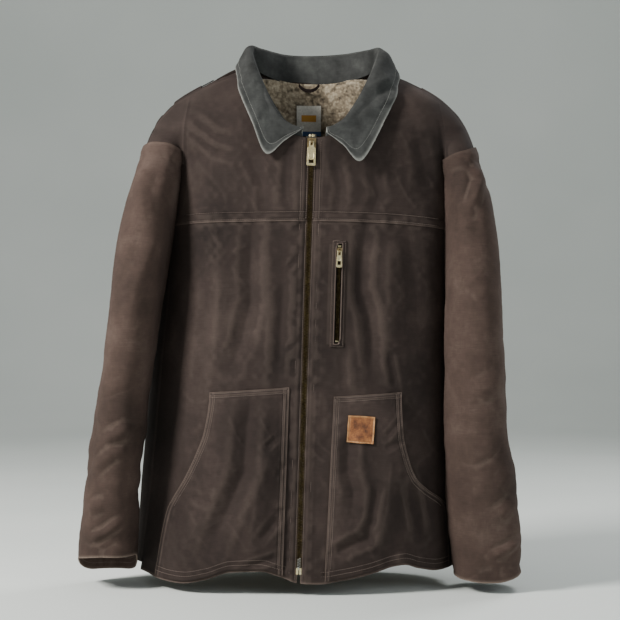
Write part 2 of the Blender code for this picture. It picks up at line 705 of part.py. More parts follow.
def make_hand_pockets():
    for side, sign in SIDES.items():
        heights = [z for z, _ in sorted(POCKET_OUTER[side])]
        rows = []
        for low, high in zip(heights, heights[1:]):
            steps = 2 if high - low > 0.06 else 1
            rows += [lerp(low, high, k / steps) for k in range(steps)]
        rows.append(heights[-1])
        grid = [[pocket_spot(side, u / 8, z) for u in range(9)] for z in rows]
        shell(side + "_hand_pocket", grid, POCKET_CLOTH, "canvas", flip=sign < 0, grow=1)


def make_leather_patch():
    cos, sin = math.cos(PATCH_TILT), math.sin(PATCH_TILT)
    inner_top, inner_bottom = POCKET_INNER["left"]
    grid = []
    for r in range(5):
        row = []
        for c in range(5):
            a, b = (c / 4 - 0.5) * PATCH_SIZE[0], (r / 4 - 0.5) * PATCH_SIZE[1]
            x = PATCH_CENTRE[0] + a * cos - b * sin
            z = PATCH_CENTRE[1] + a * sin + b * cos
            v = (z - POCKET_BOTTOM) / (POCKET_TOP - POCKET_BOTTOM)
            inner = lerp(inner_bottom, inner_top, v)
            u = (x - inner) / (interpolate(POCKET_OUTER["left"], z) - inner)
            point = pocket_spot("left", u, z)
            point.y -= POCKET_CLOTH + 0.0011
            row.append(point)
        grid.append(row)
    shell("leather_patch", grid, PATCH_THICKNESS, "leather", grow=1)


def make_neck_pieces():
    label = (-0.019, 0.018, -0.096, -0.053)
    surface_patch("neck_label", label, True, LABEL_INSET, LABEL_THICKNESS, "label_cloth", 4)
    tab = (-0.006, 0.007, -0.112, -0.0975)
    surface_patch("size_tab", tab, True, LABEL_INSET, LABEL_THICKNESS, "label_cloth", 3)
    grid = []
    middle = 0.003
    for offset in (-LOOP_WIDTH / 2, LOOP_WIDTH / 2):
        row = []
        for k in range(13):
            angle = math.pi * k / 12
            x = middle - LOOP_HALF * math.cos(angle)
            z = -0.0315 + offset - 0.004 * math.sin(angle)
            point = body_point(x, z, True, LABEL_INSET + 0.0005)
            point.y -= LOOP_BOW * math.sin(angle)
            row.append(point)
        grid.append(row)
    shell("hang_loop", grid, LOOP_THICKNESS, "canvas", flip=True)


clear_scene()
JACKET = make_collection("work_jacket")
HELPERS = make_collection("cutters")
for material_name, (colour, roughness, metallic) in MATERIALS.items():
    make_material(material_name, colour, roughness, metallic)
make_fronts()
make_back()
make_linings()
make_facings()
make_collar()
make_sleeves()
make_main_zip()
make_chest_pocket()
make_hand_pockets()
make_leather_patch()
make_neck_pieces()
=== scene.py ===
"""Looks of the canvas work jacket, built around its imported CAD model.

+X is the wearer's left, -Y the front, +Z up; metres. Cloth surfaces are grids of points made with
numpy: a torso form and two arm forms, draped with folds, cut into panels along the seams.
"""
import functools
import itertools
import json
import math

import bpy
import numpy as np
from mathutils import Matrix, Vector


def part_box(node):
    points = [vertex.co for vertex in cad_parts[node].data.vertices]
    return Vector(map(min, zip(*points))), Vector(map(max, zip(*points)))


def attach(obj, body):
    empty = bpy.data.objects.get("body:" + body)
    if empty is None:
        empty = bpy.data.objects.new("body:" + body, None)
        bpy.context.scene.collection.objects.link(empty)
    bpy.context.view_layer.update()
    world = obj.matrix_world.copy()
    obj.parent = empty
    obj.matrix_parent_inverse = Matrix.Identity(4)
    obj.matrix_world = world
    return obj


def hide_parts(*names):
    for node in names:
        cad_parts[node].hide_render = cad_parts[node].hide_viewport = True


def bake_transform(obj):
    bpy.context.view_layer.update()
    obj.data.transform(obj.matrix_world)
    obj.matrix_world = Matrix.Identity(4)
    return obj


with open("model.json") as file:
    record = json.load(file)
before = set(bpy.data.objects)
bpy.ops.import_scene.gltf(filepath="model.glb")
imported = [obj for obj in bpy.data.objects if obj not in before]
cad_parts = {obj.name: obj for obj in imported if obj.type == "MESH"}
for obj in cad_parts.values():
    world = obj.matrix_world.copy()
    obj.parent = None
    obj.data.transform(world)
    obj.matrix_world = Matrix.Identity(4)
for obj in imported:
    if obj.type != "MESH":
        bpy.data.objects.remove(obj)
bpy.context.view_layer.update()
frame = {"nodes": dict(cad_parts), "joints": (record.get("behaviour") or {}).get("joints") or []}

RIGHT, LEFT = -1, 1
NAMES = {RIGHT: "right", LEFT: "left"}

# ---------------------------------------------------------------- measures

ZIP_TOP_X, ZIP_TOP_Z = 0.003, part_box("left_zip_tape")[1].z
ZIP_LEAN, ZIP_SLOPE, ZIP_TOP_DEPTH = 0.0303, 0.0654, 0.082
LEAN_HIGH, LEAN_LOW = (-0.131, -0.003), (-0.81, -0.018)  # height and x of the jacket's middle plane
FRONT_GAP = 0.0026  # from the middle of the zip to the edge of a front

# Rows of (height, value) for the torso: depth of the back, height of the shoulder by its distance
# from the middle, half width by side, and how far the back half spreads past the front one
BACK_DEPTH = [(-0.81, 0.120), (-0.40, 0.112), (-0.15, 0.085), (-0.02, 0.055), (0.05, 0.048)]
SHOULDER = [(0.0, 0.030), (0.105, 0.020), (0.165, -0.008), (0.226, -0.045), (0.258, -0.085),
            (0.276, -0.131), (0.300, -0.24)]
NECK_SHIFT, NECK_HALF, BACK_NECK = 0.008, 0.105, 0.000
UPPER_WIDTH = [(-0.085, 0.256), (-0.045, 0.226), (-0.008, 0.165), (0.020, 0.105), (0.05, 0.07)]
WIDTH = {
    RIGHT: [(-0.83, 0.249), (-0.69, 0.229), (-0.50, 0.214), (-0.355, 0.208), (-0.20, 0.212),
            (-0.14, 0.218), (-0.108, 0.240)] + UPPER_WIDTH,
    LEFT: [(-0.83, 0.254), (-0.60, 0.244), (-0.355, 0.237), (-0.20, 0.240),
           (-0.14, 0.242), (-0.108, 0.251)] + UPPER_WIDTH,
}
CORNER = {RIGHT: 3.4, LEFT: 2.7}
SIDE_SPREAD = {RIGHT: [(-0.83, 0.056), (-0.66, 0.073), (-0.50, 0.076), (-0.30, 0.051),
                       (-0.15, 0.018), (-0.08, 0)],
               LEFT: [(-0.83, 0.016), (-0.50, 0.014), (-0.30, 0.010), (-0.15, 0.006), (-0.08, 0)]}
YOKE_SEAM, YOKE_DROP = -0.242, 0.012
FOLD_STRENGTH = 0.75
CHEST_ZIP = ((0.0472, -0.284), (0.0425, -0.438))  # its ends, as (x, z)

# Arm forms: height, outer x, inner x, middle y, half depth
ARM = {
    RIGHT: np.array([
        (-0.83, 0.378, 0.288, -0.042, 0.057), (-0.775, 0.375, 0.286, -0.042, 0.058),
        (-0.68, 0.363, 0.284, -0.042, 0.062), (-0.56, 0.347, 0.270, -0.040, 0.068),
        (-0.42, 0.330, 0.251, -0.036, 0.074), (-0.30, 0.316, 0.233, -0.028, 0.078),
        (-0.20, 0.297, 0.2170, -0.014, 0.076), (-0.15, 0.284, 0.2110, -0.006, 0.066),
        (-0.131, 0.2775, 0.2090, -0.004, 0.060), (-0.085, 0.258, 0.2010, 0.0, 0.034),
        (-0.045, 0.226, 0.180, 0.0, 0.0)]),
    LEFT: np.array([
        (-0.83, 0.338, 0.236, -0.058, 0.057), (-0.785, 0.336, 0.232, -0.058, 0.058),
        (-0.70, 0.333, 0.2255, -0.057, 0.063), (-0.58, 0.319, 0.2225, -0.054, 0.070),
        (-0.42, 0.3125, 0.2215, -0.048, 0.076), (-0.30, 0.304, 0.2215, -0.036, 0.080),
        (-0.20, 0.2925, 0.2205, -0.018, 0.076), (-0.15, 0.280, 0.2180, -0.006, 0.066),
        (-0.131, 0.2745, 0.2150, -0.004, 0.060), (-0.085, 0.258, 0.2060, 0.0, 0.034),
        (-0.045, 0.226, 0.185, 0.0, 0.0)]),
}
ARM_ROUND = 2.35
CAP_SEAM = {RIGHT: [(0.195, -0.1500), (0.211, -0.1440), (0.240, -0.1330), (0.262, -0.1310),
                    (0.280, -0.1340)],
            LEFT: [(0.205, -0.1620), (0.221, -0.1570), (0.240, -0.1500), (0.262, -0.1420),
                   (0.280, -0.1350)]}
HEM_FRONT = [(-0.30, -0.797), (-0.25, -0.817), (-0.206, -0.819), (-0.165, -0.811),
             (-0.125, -0.798), (-0.080, -0.796), (-0.045, -0.805), (-0.016, -0.815),
             (0.012, -0.816), (0.050, -0.811), (0.090, -0.803), (0.149, -0.789),
             (0.175, -0.797), (0.210, -0.804), (0.30, -0.800)]
HEM_BACK = -0.806

CANVAS = 0.0016  # thickness of the outer cloth
FLOOR = -0.835
LINING_INSET = 0.0078
SHARP_ANGLE = math.radians(58)

# Hand pockets: x of the inner and outer edges by height, and how far the mouth stands open
MOUTH_FOOT = -0.695
POCKET_INNER = {RIGHT: [(-0.80, -0.0430), (-0.513, -0.0330)], LEFT: [(-0.80, 0.0235), (-0.513, 0.0385)]}
POCKET_OUTER = {
    RIGHT: [(-0.81, -0.2520), (-0.74, -0.2400), (-0.705, -0.2310), (-0.688, -0.2220),
            (-0.651, -0.2000), (-0.617, -0.1835), (-0.578, -0.1690), (-0.53, -0.1610),
            (-0.51, -0.1600)],
    LEFT: [(-0.81, 0.2330), (-0.74, 0.2300), (-0.705, 0.2250), (-0.690, 0.2130),
           (-0.671, 0.1884), (-0.651, 0.1690), (-0.617, 0.1560), (-0.578, 0.1480),
           (-0.53, 0.1465), (-0.51, 0.1470)],
}
POCKET_TOP_LINE = {RIGHT: (-0.507, -0.5155), LEFT: (-0.5215, -0.5155)}  # height at the inner and outer end
POCKET_PUFF = 0.010
MOUTH_GAPE = {RIGHT: 0.0055, LEFT: 0.0165}

# Heights of the two rows of stitches above each seam
YOKE_STITCHES, CAP_STITCHES, HEM_STITCHES = (0.0035, 0.0150), (0.0030, 0.0105), (0.0115, 0.0185)

# Folds of the cloth: points (x, z) along the valley, half width, depth. A negative depth is a ridge.
FRONT_FOLDS = [
    ([(-0.092, -0.236), (-0.096, -0.32), (-0.0945, -0.368), (-0.110, -0.44), (-0.128, -0.475)], 0.013, 0.0085),
    ([(-0.150, -0.250), (-0.146, -0.33), (-0.150, -0.43), (-0.158, -0.50)], 0.020, -0.0050),
    ([(-0.0416, -0.33), (-0.0464, -0.416), (-0.050, -0.50)], 0.010, 0.0040),
    ([(-0.066, -0.26), (-0.066, -0.38), (-0.072, -0.50)], 0.014, -0.0045),
    ([(0.0912, -0.244), (0.0816, -0.304), (0.080, -0.352), (0.0944, -0.392), (0.0985, -0.432),
      (0.0985, -0.505)], 0.0125, 0.0100),
    ([(0.128, -0.26), (0.126, -0.36), (0.132, -0.46)], 0.018, -0.0050),
    ([(0.1264, -0.455), (0.137, -0.512)], 0.006, 0.0030),
    ([(0.062, -0.43), (0.066, -0.52)], 0.008, -0.0030),
    ([(0.172, -0.100), (0.184, -0.150), (0.190, -0.19)], 0.013, 0.0045),
    ([(0.158, -0.26), (0.170, -0.34), (0.176, -0.44)], 0.014, 0.0035),
    ([(-0.190, -0.075), (-0.160, -0.100), (-0.130, -0.112)], 0.008, 0.0028),
    ([(-0.185, -0.100), (-0.155, -0.128), (-0.118, -0.140)], 0.007, 0.0022),
    ([(-0.100, -0.135), (-0.075, -0.185), (-0.070, -0.240)], 0.010, 0.0035),
    ([(-0.036, -0.135), (-0.040, -0.19), (-0.030, -0.235)], 0.008, 0.0025),
    ([(0.040, -0.140), (0.050, -0.19), (0.045, -0.24)], 0.009, 0.0030),
    ([(0.100, -0.150), (0.110, -0.20), (0.095, -0.24)], 0.010, 0.0030),
    ([(-0.180, -0.27), (-0.165, -0.36), (-0.175, -0.46), (-0.186, -0.56)], 0.010, 0.0030),
    ([(-0.225, -0.60), (-0.205, -0.66), (-0.215, -0.75)], 0.014, 0.0035),
    ([(0.165, -0.55), (0.185, -0.61), (0.205, -0.67)], 0.013, 0.0030),
    ([(-0.020, -0.30), (-0.034, -0.318)], 0.005, 0.0018),
    ([(-0.016, -0.43), (-0.036, -0.447)], 0.005, 0.0018),
    ([(0.012, -0.345), (0.030, -0.352)], 0.005, 0.0018),
    ([(-0.018, -0.545), (-0.036, -0.520)], 0.005, 0.0020),
    ([(0.006, -0.60), (0.026, -0.618)], 0.005, 0.0018),
]
POCKET_FOLDS = [
    ([(-0.0928, -0.512), (-0.100, -0.57), (-0.104, -0.64), (-0.130, -0.70), (-0.157, -0.765)], 0.015, 0.0105),
    ([(-0.060, -0.60), (-0.085, -0.68), (-0.095, -0.76)], 0.016, -0.0050),
    ([(-0.046, -0.705), (-0.080, -0.748)], 0.007, 0.0035),
    ([(-0.050, -0.772), (-0.105, -0.790)], 0.006, 0.0040),
    ([(-0.052, -0.585), (-0.070, -0.602)], 0.005, 0.0022),
    ([(-0.190, -0.68), (-0.150, -0.69)], 0.007, 0.0020),
    ([(-0.140, -0.60), (-0.155, -0.68), (-0.200, -0.76)], 0.018, -0.0040),
    ([(0.0608, -0.575), (0.0600, -0.64), (0.0690, -0.672), (0.0660, -0.705)], 0.012, 0.0095),
    ([(0.040, -0.768), (0.068, -0.752), (0.090, -0.744), (0.097, -0.722)], 0.010, 0.0085),
    ([(0.157, -0.645), (0.166, -0.69), (0.178, -0.745)], 0.009, 0.0080),
    ([(0.106, -0.66), (0.098, -0.715), (0.086, -0.735)], 0.007, 0.0045),
    ([(0.128, -0.62), (0.122, -0.70), (0.108, -0.77)], 0.015, -0.0055),
    ([(0.120, -0.585), (0.142, -0.560)], 0.005, 0.0022),
    ([(0.118, -0.604), (0.146, -0.590)], 0.005, 0.0022),
    ([(0.150, -0.80), (0.138, -0.765)], 0.012, -0.0060),
]
SLEEVE_FOLDS = [
    ([(-0.330, -0.595), (-0.295, -0.575), (-0.275, -0.585)], 0.010, 0.0042),
    ([(-0.350, -0.640), (-0.312, -0.610), (-0.288, -0.612)], 0.009, 0.0036),
    ([(-0.352, -0.750), (-0.325, -0.738), (-0.300, -0.718)], 0.0065, 0.0048),
    ([(-0.357, -0.705), (-0.325, -0.690)], 0.009, 0.0030),
    ([(-0.262, -0.150), (-0.270, -0.19), (-0.262, -0.25)], 0.012, 0.0050),
    ([(-0.240, -0.25), (-0.275, -0.34), (-0.290, -0.42)], 0.014, 0.0035),
    ([(0.264, -0.144), (0.2725, -0.176), (0.2560, -0.224)], 0.0085, 0.0070),
    ([(0.245, -0.21), (0.250, -0.27)], 0.010, 0.0030),
    ([(0.290, -0.772), (0.308, -0.766), (0.330, -0.752)], 0.0060, 0.0060),
    ([(0.300, -0.712), (0.330, -0.686)], 0.010, 0.0045),
    ([(0.300, -0.665), (0.318, -0.640)], 0.011, 0.0035),
    ([(0.262, -0.52), (0.290, -0.50), (0.308, -0.49)], 0.013, 0.0030),
    ([(0.255, -0.33), (0.285, -0.36)], 0.013, 0.0028),
]


# ---------------------------------------------------------------- small mathematics

def smooth(low, high, value):
    t = np.clip((value - low) / (high - low), 0, 1)
    return t * t * (3 - 2 * t)


def lerp(a, b, t):
    return a + (b - a) * t


def through(rows, at):
    """Smooth curve through (key, value) rows, with no overshoot between them."""
    rows = np.array(rows, float)
    rows = rows[np.argsort(rows[:, 0])]
    key, value = rows[:, 0], rows[:, 1]
    step = np.diff(key)
    slope = np.diff(value) / step
    tangent = np.concatenate([slope[:1], np.zeros(len(slope) - 1), slope[-1:]])
    product = slope[:-1] * slope[1:]
    total = slope[:-1] + slope[1:]
    tangent[1:-1] = np.where(product > 0, 2 * product / np.where(total == 0, 1, total), 0)
    at = np.asarray(at, float)
    i = np.clip(np.searchsorted(key, at) - 1, 0, len(step) - 1)
    t = np.clip((at - key[i]) / step[i], 0, 1)
    a = value[i] + tangent[i] * step[i] * t * (1 - t) ** 2
    rise = (value[i + 1] - value[i]) * t * t * (3 - 2 * t)
    return a + rise - tangent[i + 1] * step[i] * t * t * (1 - t)


def noise(points, size, seed=0):
    """Smooth random values from -1 to 1; size is the width of a bump, one number or three."""
    place = points / np.asarray(size, float) + seed * 19.19
    cell = np.floor(place).astype(np.int64)
    inside = place - cell
    inside = inside ** 3 * (inside * (inside * 6 - 15) + 10)
    total = 0
    for corner in itertools.product((0, 1), repeat=3):
        code = (cell + corner) @ np.array([73856093, 19349663, 83492791])
        code = (code ^ (code >> 13)) * 1274126177 & 0xffffffff
        value = ((code ^ (code >> 16)) & 0xffff) / 32767.5 - 1
        share = np.prod(np.where(np.array(corner) == 1, inside, 1 - inside), axis=-1)
        total = total + share * value
    return total


def creased(points, size, seed=0):
    """Noise with sharp crests, like the small ridges of crumpled cloth; 0 to 1."""
    return (1 - np.abs(noise(points, size, seed))) ** 3


def flat(x, z):
    return np.stack([x, np.zeros_like(x), z], axis=-1)


def fold(x, z, path, width, depth):
    """Depth of one fold: a valley along a path, with a soft ridge on each side of it."""
    path = np.array(path)
    spans = np.linalg.norm(np.diff(path, axis=0), axis=1)
    done = np.concatenate([[0], np.cumsum(spans)]) / spans.sum()
    near, along = np.full(x.shape, 9.0), np.zeros(x.shape)
    for k, (start, end) in enumerate(zip(path[:-1], path[1:])):
        dx, dz = end - start
        t = np.clip(((x - start[0]) * dx + (z - start[1]) * dz) / (dx * dx + dz * dz), 0, 1)
        gap = np.hypot(x - start[0] - dx * t, z - start[1] - dz * t)
        closer = gap < near
        near = np.where(closer, gap, near)
        along = np.where(closer, lerp(done[k], done[k + 1], t), along)
    fade = smooth(0, 0.22, along) * smooth(1, 0.72, along)
    ends = smooth(3.0, 1.0, near / width)
    shape = np.exp(-(near / width) ** 1.5) - 0.38 * np.exp(-((near / width - 1.9) / 0.8) ** 2)
    return depth * shape * lerp(0.25, 1, fade) * ends


# ---------------------------------------------------------------- torso and arm forms

def lean(z):
    return lerp(LEAN_LOW[1], LEAN_HIGH[1], (z - LEAN_LOW[0]) / (LEAN_HIGH[0] - LEAN_LOW[0]))


def zip_x(z):
    return ZIP_TOP_X + ZIP_LEAN * (z - ZIP_TOP_Z)


def front_depth(z):
    return ZIP_TOP_DEPTH + ZIP_SLOPE * (ZIP_TOP_Z - z)


def shoulder_height(x):
    return through(SHOULDER, np.abs(x - lean(-0.1)))


def width(z, side):
    return through(WIDTH[side], z)


def torso_depth(x, z, side, back):
    reach = np.abs(x - lean(z))
    full = through(BACK_DEPTH, z) if back else front_depth(z)
    across = np.clip(reach / width(z, side), 0, 1)
    below = np.maximum(0, shoulder_height(x) - z)
    crease = smooth(0.03, 0.09, reach) * (1 - 0.7 * smooth(0.12, 0.20, reach))
    fullness = 1 - np.exp(-below / 0.035) * crease
    corner = lerp(2.6, 2.8 if back else CORNER[side], smooth(-0.06, -0.16, z))
    return full * np.sqrt(1 - across ** corner) * fullness


def arm(z, side):
    """(middle x from the jacket's middle plane, half width, middle y, half depth) of an arm form."""
    rows = ARM[side]
    outer, inner, middle_y, deep = (through(rows[:, [0, k]], z) for k in (1, 2, 3, 4))
    return (outer + inner) / 2, (outer - inner) / 2, middle_y, deep


def arm_depth(x, z, side, back):
    middle, half, middle_y, deep = arm(z, side)
    across = np.abs(side * x - middle) / half
    rise = np.clip(1 - np.clip(across, 0, 1) ** ARM_ROUND, 0, 1) ** (1 / ARM_ROUND)
    return np.where(across < 1, deep * rise + (middle_y if back else -middle_y), -0.05)


def joined(a, b, soft):
    """The larger of two depths, with their meeting rounded over a distance."""
    overlap = np.maximum(soft - np.abs(a - b), 0) / soft
    return np.maximum(a, b) + overlap ** 2 * soft / 4


def chest_zip_gap(x, z):
    """Distance from the chest zip's middle line, in the plane of the front."""
    high, low = CHEST_ZIP
    t = np.clip((z - low[1]) / (high[1] - low[1]), 0, 1)
    return np.hypot(x - lerp(low[0], high[0], t), z - lerp(low[1], high[1], t))


def drape(x, z, side, back):
    """How far the hanging cloth stands off its plain form, in metres."""
    p = flat(x, z)
    seed = 5 if back else 1
    reach = np.abs(x - lean(z)) / np.maximum(width(z, side), 0.05)
    calm = smooth(1.02, 0.8, reach)
    hang = 0.0030 * noise(p, (0.085, 1, 0.30), seed) + 0.0010 * noise(p, (0.040, 1, 0.13), seed + 1)
    rough = 0.0009 * noise(p, (0.034, 1, 0.040), seed + 2)
    skew = np.stack([x + 0.6 * z, 0 * x, z - 0.5 * x], axis=-1)
    rough = rough + 0.0006 * (creased(skew, (0.050, 1, 0.070), seed + 3) - 0.4)
    rough = rough + 0.00025 * noise(p, (0.008, 1, 0.010), seed + 4)
    lift = (hang + rough) * lerp(0.35, 1, smooth(-0.02, -0.12, z))
    if back:
        for bow in (-0.085, -0.02, 0.055, 0.115):
            path = [(bow, -0.25), (bow * 1.1, -0.45), (bow * 1.25, -0.72)]
            lift = lift - fold(x, z, path, 0.022, 0.0055)
    else:
        for path, wide, deep in FRONT_FOLDS + POCKET_FOLDS:
            lift = lift - fold(x, z, path, wide, deep * FOLD_STRENGTH)
        lift = lift * smooth(0.002, 0.03, np.abs(x - zip_x(z))) * smooth(0.010, 0.034, chest_zip_gap(x, z))
    return lift * calm


def pucker(x, z, distance, reach=0.014, pitch=0.011, deep=0.0010):
    """Gathering of the cloth along a seam; distance is how far a point is from the seam."""
    p, wide = flat(x, z), pitch * 2.1
    ripple = noise(p, (pitch, 1, pitch), 11) + 0.6 * noise(p, (wide, 1, wide), 12)
    return deep * ripple * np.exp(-(distance / reach) ** 2)


def yoke_seam(x, side):
    across = (x - lean(YOKE_SEAM)) / 0.24
    return YOKE_SEAM - YOKE_DROP * np.abs(across) ** 2.5 * (1 if side > 0 else 0.3)


def body_point(x, z, side, back=False, arms=False, lift=0.0, inset=0.0):
    """Point of the outer cloth of the body at x and z; arms joins the arm forms to it."""
    x, z = np.broadcast_arrays(np.asarray(x, float), np.asarray(z, float))
    depth = torso_depth(x, z, side, back)
    if arms:
        soft = lerp(0.005, 0.026, smooth(-0.150, -0.075, z))
        depth = joined(depth, arm_depth(x, z, side, back), soft)
    depth = depth + drape(x, z, side, back)
    depth = depth + pucker(x, z, z - yoke_seam(x, side)) + lift - inset
    y = depth if back else -depth
    spread = through(SIDE_SPREAD[side], z) * smooth(-0.05, 0.09, y)
    spread = spread * smooth(0.08, 0.20, np.abs(x - lean(z))) * (0 if arms else 1)
    return np.stack([x + side * spread, y, z], axis=-1)


def unit(vectors):
    return vectors / np.maximum(np.linalg.norm(vectors, axis=-1, keepdims=True), 1e-12)


def grid_normals(grid, wrap=False, flip=False):
    if wrap:
        grid = np.concatenate([grid[:, -2:], grid, grid[:, :2]], axis=1)
    n = unit(np.cross(np.gradient(grid, axis=1), np.gradient(grid, axis=0)))
    n = n[:, 2:-2] if wrap else n
    return -n if flip else n


# ---------------------------------------------------------------- meshes

def mesh_object(name, points, quads, values=None, smooth_faces=True, triangles=None):
    mesh = bpy.data.meshes.new(name)
    points = np.asarray(points, np.float32).reshape(-1, 3)
    quads = np.asarray(quads, np.int32).reshape(-1, 4)
    triangles = np.zeros((0, 3), np.int32) if triangles is None else np.asarray(triangles, np.int32)
    corners = np.concatenate([quads.ravel(), triangles.ravel()])
    counts = np.concatenate([np.full(len(quads), 4), np.full(len(triangles), 3)])
    mesh.vertices.add(len(points))
    mesh.vertices.foreach_set("co", points.ravel())
    mesh.loops.add(len(corners))
    mesh.loops.foreach_set("vertex_index", corners.astype(np.int32))
    mesh.polygons.add(len(counts))
    mesh.polygons.foreach_set("loop_start", np.concatenate([[0], np.cumsum(counts)[:-1]]).astype(np.int32))
    mesh.update(calc_edges=True)
    mesh.validate()
    mesh.polygons.foreach_set("use_smooth", np.full(len(counts), smooth_faces))
    for key, value in (values or {}).items():
        attribute = mesh.attributes.new(key, "FLOAT", "POINT")
        attribute.data.foreach_set("value", np.asarray(value, np.float32).ravel())
    obj = bpy.data.objects.new(name, mesh)
    bpy.context.scene.collection.objects.link(obj)
    return obj


def grid_quads(rows, columns, wrap=False, start=0):
    r, c = np.meshgrid(np.arange(rows - 1), np.arange(columns if wrap else columns - 1), indexing="ij")
    after = (c + 1) % columns
    quad = np.stack([r * columns + c, r * columns + after, (r + 1) * columns + after,
                     (r + 1) * columns + c], axis=-1)
    return quad.reshape(-1, 4) + start


def sheet(name, grid, thickness, flip=False, wrap=False, wear=None):
    """Closed sheet of cloth: the grid is its outer face, and the inner one lies under it."""
    rows, columns = grid.shape[:2]
    n = grid_normals(grid, wrap, flip)
    points = np.concatenate([grid.reshape(-1, 3), (grid - n * thickness).reshape(-1, 3)])
    count = rows * columns
    quads = [grid_quads(rows, columns, wrap)]
    quads.append(quads[0][:, ::-1] + count)
    ring, down = np.arange(columns if wrap else columns - 1), np.arange(rows) * columns
    after, last_row = (ring + 1) % columns, count - columns
    rims = [(after, ring, False), (after + last_row, ring + last_row, True)]
    if not wrap:
        rims += [(down[:-1], down[1:], False), (down[:-1] + columns - 1, down[1:] + columns - 1, True)]
    for a, b, turn in rims:
        quad = np.stack([a, b, b + count, a + count], axis=-1)
        quads.append(quad[:, ::-1] if turn else quad)
    quads = np.concatenate(quads)
    if flip:
        quads = quads[:, ::-1]
    wear = np.zeros((rows, columns)) if wear is None else wear
    obj = mesh_object(name, points, quads, {"wear": np.concatenate([wear.ravel()] * 2)})
    obj.data.set_sharp_from_angle(angle=SHARP_ANGLE)
    return obj


def merged(name, objects):
    """Joins mesh objects into one."""
    with bpy.context.temp_override(active_object=objects[0], selected_editable_objects=objects,
                                   selected_objects=objects, object=objects[0]):
        bpy.ops.object.join()
    objects[0].name = name
    return objects[0]


def end_caps(count, last):
    """Triangles that close the first ring of a bead, which starts at 0, and its last one."""
    fan = [(k, k + 1) for k in range(1, count - 1)]
    return [[0, a, b] for a, b in fan] + [[last, last + b, last + a] for a, b in fan]


def interpolated(at, done, rows):
    return np.stack([np.interp(at, done, column) for column in rows.T], axis=-1)


def distance_along(points):
    return np.concatenate([[0], np.cumsum(np.linalg.norm(np.diff(points, axis=0), axis=1))])


def resampled(points, n, pitch):
    """Places at equal steps along a line of points: (places, directions, normals)."""
    done = distance_along(points)
    count = max(2, int(done[-1] / pitch))
    at = (np.arange(count) + 0.5) * done[-1] / count
    step = pitch * 0.3
    direction = unit(interpolated(at + step, done, points) - interpolated(at - step, done, points))
    normal = interpolated(at, done, n)
    normal = unit(normal - direction * (normal * direction).sum(-1, keepdims=True))
    return interpolated(at, done, points), direction, normal


def stitching(name, lines, look="thread", slot="canvas", body="root", pitch=0.0034, thread=0.00042,
              length=0.0013):
    """Rows of sewn stitches along lines of (points, normals), each stitch a small rounded bead."""
    sides = 6
    rings = [(-1.0, 0.45), (-0.62, 0.95), (0.0, 1.12), (0.62, 0.95), (1.0, 0.45)]
    turn = np.arange(sides) * 2 * math.pi / sides
    shape = np.array([(a, r * math.cos(t), r * math.sin(t) * 0.8 - 0.25 * a * a)
                      for a, r in rings for t in turn])
    quads = grid_quads(len(rings), sides, wrap=True)
    caps = np.array(end_caps(sides, (len(rings) - 1) * sides))
    all_points, all_quads, all_caps, start = [], [], [], 0
    random = np.random.default_rng(7)
    for points, n in lines:
        place, direction, normal = resampled(np.asarray(points), np.asarray(n), pitch)
        across = np.cross(normal, direction)
        count = len(place)
        sway = random.normal(0, 0.00010, (count, 1))
        place = place + across * sway + normal * 0.00012
        scale = length * (1 + random.normal(0, 0.06, (count, 1, 1)))
        made = (place[:, None] + direction[:, None] * shape[None, :, :1] * scale
                + across[:, None] * shape[None, :, 1:2] * thread
                + normal[:, None] * shape[None, :, 2:] * thread)
        offset = start + np.arange(count)[:, None, None] * len(shape)
        all_points.append(made.reshape(-1, 3))
        all_quads.append((quads[None] + offset).reshape(-1, 4))
        all_caps.append((caps[None] + offset).reshape(-1, 3))
        start += count * len(shape)
    obj = mesh_object(name, np.concatenate(all_points), np.concatenate(all_quads),
                      triangles=np.concatenate(all_caps))
    return finish_piece(obj, look, slot, body)


def finish_piece(obj, look, slot, body, *nodes):
    obj.data.materials.append(LOOKS[look])
    if body:
        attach(obj, body)
    if nodes:
        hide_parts(*nodes)
    return obj


def cloth(name, grid, thickness, *nodes, look="canvas", slot="canvas", body="root", **options):
    """A sheet that stands for CAD nodes, finished with its material and body; slot is not used."""
    return finish_piece(sheet(name, grid, thickness, **options), look, slot, body, *nodes)


# ---------------------------------------------------------------- materials

